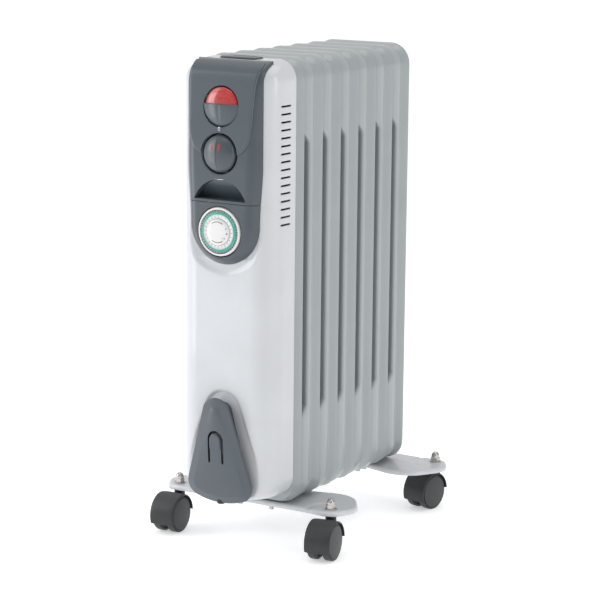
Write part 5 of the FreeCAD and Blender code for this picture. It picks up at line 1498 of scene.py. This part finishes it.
def rounded_step(before, corner, after, share_in, share_out, count):
    """Rings of a quadratic curve that rounds the corner between three outlines."""
    enter = corner + (before - corner) * share_in
    leave = corner + (after - corner) * share_out
    return [(1 - t) ** 2 * enter + 2 * t * (1 - t) * corner + t * t * leave
            for t in np.linspace(0, 1, count)]


def face_y(z, share):
    """Depth of the crowned face; share is 0 on its spine and 1 at the crease."""
    return lean_y(CREASE, z) - CROWN * (1 - share ** 2)


neck, neck_end, rim_rear, shoulder, crease = (
    cover_ring(s) for s in (NECK, NECK_END, RIM_REAR, SHOULDER, CREASE))
face_spine = np.stack([np.zeros(len(crease)), np.zeros(len(crease)),
                       np.clip(crease[:, 2], 96.0, 170.0)], -1)
face_rings = []
for share in (0.97, 0.92, 0.84, 0.74, 0.62, 0.5, 0.38, 0.26, 0.13, 0.0):
    flat = face_spine + (crease - face_spine) * share
    flat[:, 1] = face_y(flat[:, 2], share)
    face_rings.append(flat)
rings = [neck, neck + (neck_end - neck) * 0.5, neck + (neck_end - neck) * 0.9, neck_end]
rings += [neck_end + (rim_rear - neck_end) * s for s in (0.3, 0.7)]
rings += rounded_step(neck_end, rim_rear, shoulder, 0.06, 0.25, 5)
rings += rounded_step(rim_rear, shoulder, crease, 0.4, 0.14, 7)
rings += [shoulder + (crease - shoulder) * s for s in (0.35, 0.6, 0.82)]
rings += rounded_step(shoulder, crease, face_rings[0], 0.07, 1.0, 6)
rings += face_rings[1:]
cover = tidy(mesh_piece("cord_cover", [(np.stack(rings), True, False)]), outward=False, smooth=50)
face_out(cover, (0, -1, 0))
wall = cover.modifiers.new("wall", "SOLIDIFY")
wall.thickness, wall.offset = 1.8 * MM, -1.0
baked(cover)

TONGUE_MID_Z = 143.5


def slit_tool(half_in, half_out, top_in, top_out, low):
    """An arch shaped bar with round ends for cutting the slit round the tongue."""
    up = np.linspace(low, TONGUE_MID_Z, 14)[:-1]
    t = np.linspace(math.pi, 0, 33)
    middle_half, middle_top = (half_in + half_out) / 2, (top_in + top_out) / 2
    path = np.concatenate([
        np.stack([np.full(13, -middle_half), up], -1),
        np.stack([middle_half * np.cos(t),
                  TONGUE_MID_Z + (middle_top - TONGUE_MID_Z) * np.sin(t)], -1),
        np.stack([np.full(13, middle_half), up[::-1]], -1)])
    along = np.gradient(path, axis=0)
    along /= np.linalg.norm(along, axis=-1, keepdims=True)
    across = np.stack([-along[:, 1], along[:, 0]], -1)
    run = np.r_[0, np.cumsum(np.linalg.norm(np.diff(path, axis=0), axis=-1))]
    half = (half_out - half_in) / 2
    near = np.clip(np.minimum(run, run[-1] - run) / half, 0.12, 1)
    width = half * np.sqrt(1 - (1 - near) ** 2)
    a, b = path + across * width[:, None], path - across * width[:, None]
    front, rear = FIN1_REAR - 92.0, FIN1_REAR - 76.6
    loops = [np.stack([p[:, 0], np.full(len(p), y), p[:, 1]], -1)
             for y, p in ((front, a), (front, b), (rear, b), (rear, a))]
    grid = np.stack(loops, 1)
    ends = [np.broadcast_to(g.mean(0), g.shape)[None] for g in (grid[0], grid[-1])]
    return tidy(mesh_piece("slit_tool", [(np.concatenate([ends[0], grid, ends[1]]), True, False)]))


outlet = turned_piece("outlet_tool", [(0, 60.0), (4.7, 60.0), (4.7, 74.0), (0, 74.0)],
                      (0, 0, 1), (0, MOAT_FLOOR - 5.9, 0), 40)
cut_away(cover, slit_tool(7.7, 10.9, 152.0, 156.0, 115.5), outlet)
tidy(cover, smooth=32)
settle(cover, "radiator", "cover_plastic", plastic_cover, "cable_cover")

# %% Clip tongue
TONGUE_HALF, TONGUE_LOW, TONGUE_RISE = 7.4, 133.8, 1.6
t = np.linspace(math.pi, 0, 25)
arch = np.stack([TONGUE_HALF * np.cos(t), TONGUE_MID_Z + 8.2 * np.sin(t)], -1)
low_edge = np.stack([np.linspace(TONGUE_HALF, -TONGUE_HALF, 12)[1:-1], np.full(10, TONGUE_LOW)], -1)
tongue_plan = np.concatenate([np.array([[-TONGUE_HALF, TONGUE_LOW], [-TONGUE_HALF, 138.0]]), arch,
                              np.array([[TONGUE_HALF, 138.0], [TONGUE_HALF, TONGUE_LOW]]),
                              low_edge])
tongue_mid = np.array([0.0, 142.5])
tongue_rings = []
for share, rise in ((1.0, -0.7), (1.0, 0.62), (0.985, 0.85), (0.95, 0.97), (0.88, 1.0), (0.6, 1.0),
                    (0.3, 1.0), (0.0, 1.0)):
    p = tongue_mid + (tongue_plan - tongue_mid) * share
    tongue_rings.append(np.stack([p[:, 0], face_y(p[:, 1], 0.35) - rise * TONGUE_RISE, p[:, 1]],
                                 -1))
tongue = tidy(mesh_piece("clip_tongue", [(np.stack(tongue_rings), True, False)]), outward=False)
face_out(tongue, (0, -1, 0))
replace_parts(settle(tongue, "radiator", "cover_plastic", plastic_cover, "cable_cover"),
            "cable_cover")

# %% [markdown]
# The grip is a plastic insert in the top of the hood. Its outline is a rounded
# rectangle, written as |x / a|^n + |y / b|^n = 1 with a high power n, and its top
# is slightly dished for the fingers.


# %% Top grip
grip_low, grip_high = box_mm("top_grip")
GRIP_HALF = grip_high[0]
GRIP_MID_Y = (grip_low[1] + grip_high[1]) / 2
GRIP_DEPTH = (grip_high[1] - grip_low[1]) / 2
GRIP_TOP = grip_high[2]


def super_ring(a, b, z, power=7.0, count=120):
    """Closed ring of a rounded rectangle round the middle of the grip."""
    t = np.linspace(0, 2 * math.pi, count, endpoint=False)
    x = a * np.sign(np.cos(t)) * np.abs(np.cos(t)) ** (2 / power)
    y = b * np.sign(np.sin(t)) * np.abs(np.sin(t)) ** (2 / power)
    return np.stack([x, GRIP_MID_Y + y, np.full(count, z)], -1)


grip_rings = [super_ring(0.01, 0.01, GRIP_TOP - 8.0)]
grip_rings += [super_ring(GRIP_HALF - 2, GRIP_DEPTH - 2, GRIP_TOP - drop) for drop in (8.0, 6.0)]
for angle in np.linspace(0, math.pi / 2, 6):
    inset = 1.6 * (1 - math.cos(angle))
    grip_rings.append(super_ring(GRIP_HALF - inset, GRIP_DEPTH - inset,
                                 GRIP_TOP - 1.6 + 1.6 * math.sin(angle)))
for share, dish in ((0.86, 0.05), (0.78, 0.35), (0.6, 0.75), (0.35, 0.9), (0.0, 0.95)):
    grip_rings.append(super_ring(GRIP_HALF * share + 0.01, GRIP_DEPTH * share + 0.01,
                                 GRIP_TOP - dish))
grip = tidy(mesh_piece("top_grip_pad", [(np.stack(grip_rings), True, False)]), smooth=40)
settle(grip, "radiator", "panel_plastic", plastic_panel, "top_grip")

# %% [markdown]
# ## Feet
# Each foot is a pressed sheet: a bar under the fins that widens into a paddle at
# both ends. Half of its outline is a table of points with a smooth curve through
# them. The rim is a quarter round that goes down into a skirt, and a crescent
# valley marks where the bar meets the paddle.

# %% Foot
FOOT_TOP = float(box_mm("foot_front")[1][2])
FOOT_LOW = float(box_mm("foot_front")[0][2])
STEM_X, FRONT_STEM_Y, REAR_STEM_Y = 108.8, FIN1_REAR + 2.0, FIN1_REAR + 266.0
FOOT_TABLE = np.array([
    (0.0, -12.0), (40.0, -12.0), (76.0, -12.0), (90.0, -12.6), (102.0, -13.6), (110.0, -13.2),
    (117.5, -10.4), (124.0, -1.5), (128.8, 7.0), (131.0, 15.0), (130.0, 25.0), (121.0, 42.0),
    (110.0, 57.0), (96.0, 65.0), (78.0, 67.0), (58.0, 62.0), (40.0, 57.0), (20.0, 55.4),
    (0.0, 55.0)])


def foot_outline(count=150):
    """Closed outline: the table against its running length, then mirrored."""
    run = np.r_[0, np.cumsum(np.hypot(*np.diff(FOOT_TABLE, axis=0).T))]
    where = np.linspace(0, run[-1], count)
    half = np.stack([smooth_curve(np.stack([run, FOOT_TABLE[:, k]], -1), where) for k in (0, 1)],
                    -1)
    return np.concatenate([half, half[1:-1][::-1] * np.array([-1.0, 1.0])])


def outline_normals(outline):
    """Unit normals of a closed outline that point outwards."""
    along = np.roll(outline, -1, 0) - np.roll(outline, 1, 0)
    along /= np.linalg.norm(along, axis=-1, keepdims=True)
    return np.stack([along[:, 1], -along[:, 0]], -1)


def foot_height(x, dy):
    """Top face: flat, less a valley 1.5 * exp(-((d - 28) / 2.6)^2) on the side of the
    bar, where d is the distance from the stem, and a faint dome on the paddle."""
    from_stem = np.hypot(np.abs(x) - STEM_X, dy)
    toward = np.clip((STEM_X - np.abs(x)) / np.maximum(from_stem, 1e-6), 0, 1)
    valley = 1.5 * np.exp(-((from_stem - 28.0) / 2.6) ** 2) * smoothstep(0.35, 0.8, toward)
    ditch = 0.35 * np.exp(-((np.abs(x) - 72.0) / 16.0) ** 2)
    return FOOT_TOP - valley - ditch


def foot_piece(name, stem_y, side, node):
    """Rings from the skirt over the rolled rim to the middle line of the foot."""
    outline = foot_outline()
    normal = outline_normals(outline)
    middle = np.stack([np.clip(outline[:, 0], -112.0, 112.0), np.full(len(outline), 14.0)], -1)
    middle[:, 1] = np.interp(np.abs(middle[:, 0]), [0, 70, 95, 112], [21, 24, 24, 18])
    rings = []

    def ring(flat, z):
        rings.append(np.stack([flat[:, 0], stem_y + side * flat[:, 1], z], -1))

    roll = 3.4
    for z in (FOOT_LOW, FOOT_LOW + 0.8, FOOT_TOP - roll):
        ring(outline, np.full(len(outline), z))
    for angle in np.linspace(0.15, math.pi / 2, 8):
        flat = outline - normal * roll * (1 - math.cos(angle))
        drop = FOOT_TOP - foot_height(flat[:, 0], flat[:, 1])
        ring(flat, FOOT_TOP - roll + roll * math.sin(angle) - drop * math.sin(angle) ** 2)
    rim = outline - normal * roll
    for share in 1 - np.linspace(0.03, 1, 30):
        flat = middle + (rim - middle) * share
        ring(flat, foot_height(flat[:, 0], flat[:, 1]))
    foot = tidy(mesh_piece(name, [(np.stack(rings), True, False)]), outward=False, smooth=45)
    face_out(foot, (0, 0, 1))
    sheet = foot.modifiers.new("sheet", "SOLIDIFY")
    sheet.thickness, sheet.offset = 1.4 * MM, -1.0
    return settle(foot, "radiator", "foot_enamel", paint_feet, node)


foot_piece("foot_pressing_front", FRONT_STEM_Y, 1.0, "foot_front")
foot_piece("foot_pressing_rear", REAR_STEM_Y, -1.0, "foot_rear")

# %% [markdown]
# ## Casters
# A twin wheel caster has a hood over two wheels, a web between them and a socket
# for the stem. The hood is one cross section carried round the axle. The casters
# stand at slightly different angles, because each one can turn freely.

# %% Caster numbers
AXLE_BACK, WHEEL_R = 19.8, 22.5
CASTERS = {
    "fl": (-STEM_X, FRONT_STEM_Y, 3.7), "fr": (STEM_X, FRONT_STEM_Y, 8.3),
    "rl": (-STEM_X, REAR_STEM_Y, 5.0), "rr": (STEM_X, REAR_STEM_Y, -9.9),
}


def placed(grid, key):
    """A grid built round the stem at the origin, turned and moved to its caster."""
    x, y, yaw = CASTERS[key]
    c, s = math.cos(math.radians(yaw)), math.sin(math.radians(yaw))
    turn = np.array([[c, -s, 0], [s, c, 0], [0, 0, 1.0]])
    return grid @ turn.T + np.array([x, y, 0.0])


def round_the_axle(section, start, stop, count):
    """Carry a closed section of (x, radius) points round the axle; both ends closed.
    The angle is measured from the horizontal that points away from the stem."""
    angle = np.radians(np.linspace(start, stop, count))[:, None]
    x, r = section[:, 0][None], section[:, 1][None]
    grid = np.stack([np.broadcast_to(x, (count, len(section))), -AXLE_BACK - r * np.cos(angle),
                     WHEEL_R + r * np.sin(angle)], -1)
    ends = [np.broadcast_to(g.mean(0), g.shape)[None] for g in (grid[0], grid[-1])]
    return np.concatenate([ends[0], grid, ends[1]])


# %% Caster bodies
def hood_section():
    """Hood wall: a crowned outside, rounded rims that reach over the discs, inside."""
    x = np.linspace(-15.0, 15.0, 25)
    outside = np.stack([x, 25.6 - 0.45 * (np.abs(x) / 15.0) ** 4], -1)
    right = np.array([(15.9, 24.85), (16.35, 24.3), (16.4, 23.6), (16.2, 23.1), (15.6, 23.0),
                      (15.2, 23.3)])
    inside = np.stack([np.linspace(14.6, -14.6, 9), np.full(9, 23.6)], -1)
    return np.concatenate([outside, right, inside, right[::-1] * np.array([-1.0, 1.0])])


WEB = rounded_path([(-3.7, 5.0), (-3.7, 24.4), (3.7, 24.4), (3.7, 5.0)], [0, 0.6, 0.6, 0], 3)
HUB = np.array([(0, -3.7), (6.6, -3.7), (7.0, -3.3), (7.0, 3.3), (6.6, 3.7), (0, 3.7)], float)
BLOCK = rounded_path([(-3.7, -8.0), (3.7, -8.0), (3.7, 7.0), (-3.7, 7.0)],
                     [0.6, 0.6, 1.8, 1.8], 4, closed=True)


def socket_grid():
    """Socket tube whose lower edge follows the hood: z = 22.5 + sqrt(24.4^2 - d^2)."""
    t = np.linspace(0, 2 * math.pi, 48, endpoint=False)
    rings = []
    for radius, share in ((6.6, 0.0), (6.6, 0.5), (6.6, 0.955), (6.4, 0.985), (6.0, 1.0),
                          (4.5, 1.0),
                          (4.25, 0.98), (4.25, 0.5)):
        x, y = radius * np.cos(t), radius * np.sin(t)
        inside_hood = np.sqrt(np.clip(24.4 ** 2 - (y + AXLE_BACK) ** 2, 0, None))
        low = np.maximum(30.0, WHEEL_R + inside_hood)
        rings.append(np.stack([x, y, low + (49.8 - low) * share], -1))
    return np.stack(rings)


def block_grid():
    """Block behind the web that carries the stem."""
    rings = []
    middle = BLOCK.mean(axis=0)
    for share, z in ((0.0, 22.0), (0.9, 22.0), (1.0, 22.8), (1.0, 40.0), (0.0, 40.0)):
        p = middle + (BLOCK - middle) * share
        rings.append(np.stack([p[:, 0], p[:, 1], np.full(len(p), z)], -1))
    return np.stack(rings)


for key in CASTERS:
    parts = [round_the_axle(hood_section(), -22.0, 176.0, 73),
             round_the_axle(WEB, -18.0, 172.0, 60),
             turned(HUB, (1, 0, 0), (0, -AXLE_BACK, WHEEL_R), 32), socket_grid(), block_grid()]
    grids = [(placed(g, key), True, False) for g in parts]
    body = tidy(mesh_piece("caster_hood_" + key, grids), smooth=38)
    settle(body, "caster_" + key, "caster_plastic", plastic_black, "caster_%s_body" % key)

# %% [markdown]
# A wheel is turned: a rolled tread, a narrow groove and a domed disc. Inside it
# is hollowed out to a hub, which shows between the wheels from below.

# %% Wheels
dome_points = [(20.1 * t, 16.2 - 1.25 * t ** 2.4) for t in np.linspace(0.0, 1.0, 14)[:0:-1]]
WHEEL = np.concatenate([
    rounded_path([(2.6, 13.2), (2.6, 4.4), (6.5, 4.4), (7.6, 6.6), (18.3, 6.8), (19.4, 4.6),
                  (21.2, 4.4),
                  (22.5, 5.8), (22.5, 13.2), (21.6, 14.5), (21.0, 14.3), (20.7, 13.5), (20.35,
                                                                                        13.5),
                  (20.1, 14.95)],
                 [0, 0.3, 0.5, 0.8, 0.9, 0.5, 0.6, 1.6, 1.4, 0.4, 0.2, 0.1, 0.1, 0], 3),
    np.array(dome_points + [(1.6, 16.19), (1.2, 15.95), (0.0, 15.9), (0.0, 13.4), (2.6, 13.4), (2.6, 13.2)])])
for key in CASTERS:
    for letter, side in (("a", -1.0), ("b", 1.0)):
        grid = turned(WHEEL, (1, 0, 0), (0, 0, 0), 96) * np.array([side, 1.0, 1.0])
        grid = placed(grid + np.array([0.0, -AXLE_BACK, WHEEL_R]), key)
        name = "wheel_%s_%s" % (key, letter)
        wheel = tidy(mesh_piece(name + "_disc", [(grid, True, side < 0)]), smooth=35)
        settle(wheel, name, "wheel_plastic", plastic_wheel, "caster_%s_wheel_%s" % (key, letter))

# %% [markdown]
# ## Stems, washers and acorn nuts
# Bright nuts hold the stems. The hexagon of a nut is the smaller of two radii at
# every angle: that of the flats, a / cos(d), and that of the turned chamfer.

# %% Stems and nuts
WASHER_TOP = float(box_mm("cap_washers")[1][2])
NUT_TOP = float(box_mm("cap_nuts")[1][2])
BALL_R = 5.1
STEM = rounded_path([(0, 30.2), (3.9, 30.2), (3.9, 50.2), (5.3, 50.3), (5.3, 54.9), (3.9, 54.9),
                     (3.9, 57.9),
                     (0, 57.9)], [0, 0.5, 0, 0.5, 0.4, 0, 0, 0], 3)
WASHER = rounded_path([(4.0, FOOT_TOP + 0.02), (7.4, FOOT_TOP + 0.02), (7.4, WASHER_TOP),
                       (4.0, WASHER_TOP),
                       (4.0, FOOT_TOP + 0.02)], [0, 0.35, 0.45, 0.3, 0], 4)


def acorn_grid(columns=120):
    """Acorn nut: chamfered hexagon, short neck and a half ball of radius BALL_R."""
    angle = np.radians(np.arange(columns) * 360.0 / columns)
    from_flat = (np.degrees(angle) - 15.0) % 60.0 - 30.0
    flats = 6.2 * math.cos(math.radians(30)) / np.cos(np.radians(from_flat))
    ball_z = NUT_TOP - BALL_R
    lines = [(5.4, WASHER_TOP), (5.85, WASHER_TOP), (6.2, WASHER_TOP + 0.35),
             (6.2, WASHER_TOP + 4.1),
             (5.95, WASHER_TOP + 4.55), (5.6, WASHER_TOP + 4.9), (5.3, WASHER_TOP + 5.15),
             (5.12, WASHER_TOP + 5.3), (5.08, WASHER_TOP + 5.8), (BALL_R, ball_z)]
    lines += [(BALL_R * math.cos(a), ball_z + BALL_R * math.sin(a))
              for a in np.linspace(0.08, math.pi / 2, 16)]
    r = np.array([p[0] for p in lines])[:, None]
    z = np.array([p[1] for p in lines])[:, None]
    r = np.where(z < WASHER_TOP + 5.2, np.minimum(r, flats[None]), r)
    return np.stack([r * np.cos(angle), r * np.sin(angle), np.broadcast_to(z, r.shape)], -1)


for key, (x, y, yaw) in CASTERS.items():
    stem = turned_piece("stem_" + key, STEM, (0, 0, 1), (x, y, 0), 40)
    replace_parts(settle(stem, "radiator", "stem_black", plastic_black), "caster_stems")
    washer = turned_piece("washer_" + key, WASHER, (0, 0, 1), (x, y, 0), 64)
    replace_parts(settle(washer, "radiator", "bright_nickel", nickel), "cap_washers")
    acorn = acorn_grid() + np.array([x, y, 0.0])
    middle = np.broadcast_to(acorn[0].mean(0), acorn[0].shape)[None]
    nut = tidy(mesh_piece("acorn_nut_" + key, [(np.concatenate([middle, acorn]), True, False)]),
               smooth=28)
    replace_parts(settle(nut, "radiator", "bright_nickel", nickel), "cap_nuts")

# %% [markdown]
# ## Parts that keep their measured shape
# Screws, the back plate, the electrics and the bushes are already right, so they
# only get their finish.

# %% Finishes of the measured parts
KEPT = {
    "housing_back_plate": zinc_sheet, "back_plate_screws": zinc, "knob_shaft": zinc,
    "thermostat_switch": plastic_black, "timer_body": plastic_white, "cord_gland": rubber,
    "heating_element": copper, "element_flange": brass, "thermal_cutout": plastic_black,
    "terminal_block": plastic_white, "wiring": wire_skin, "indicator_lamp": plastic_white,
    "foot_clamps": zinc, "wing_nuts": zinc,
}
for name, node in nodes.items():
    if node.hide_render:
        continue
    node.data.materials.clear()
    finish_of = zinc if name.endswith("_axle") else KEPT.get(name, plastic_panel)
    node.data.materials.append(finish_of)
print("kept nodes", sorted(n for n, o in nodes.items() if not o.hide_render))
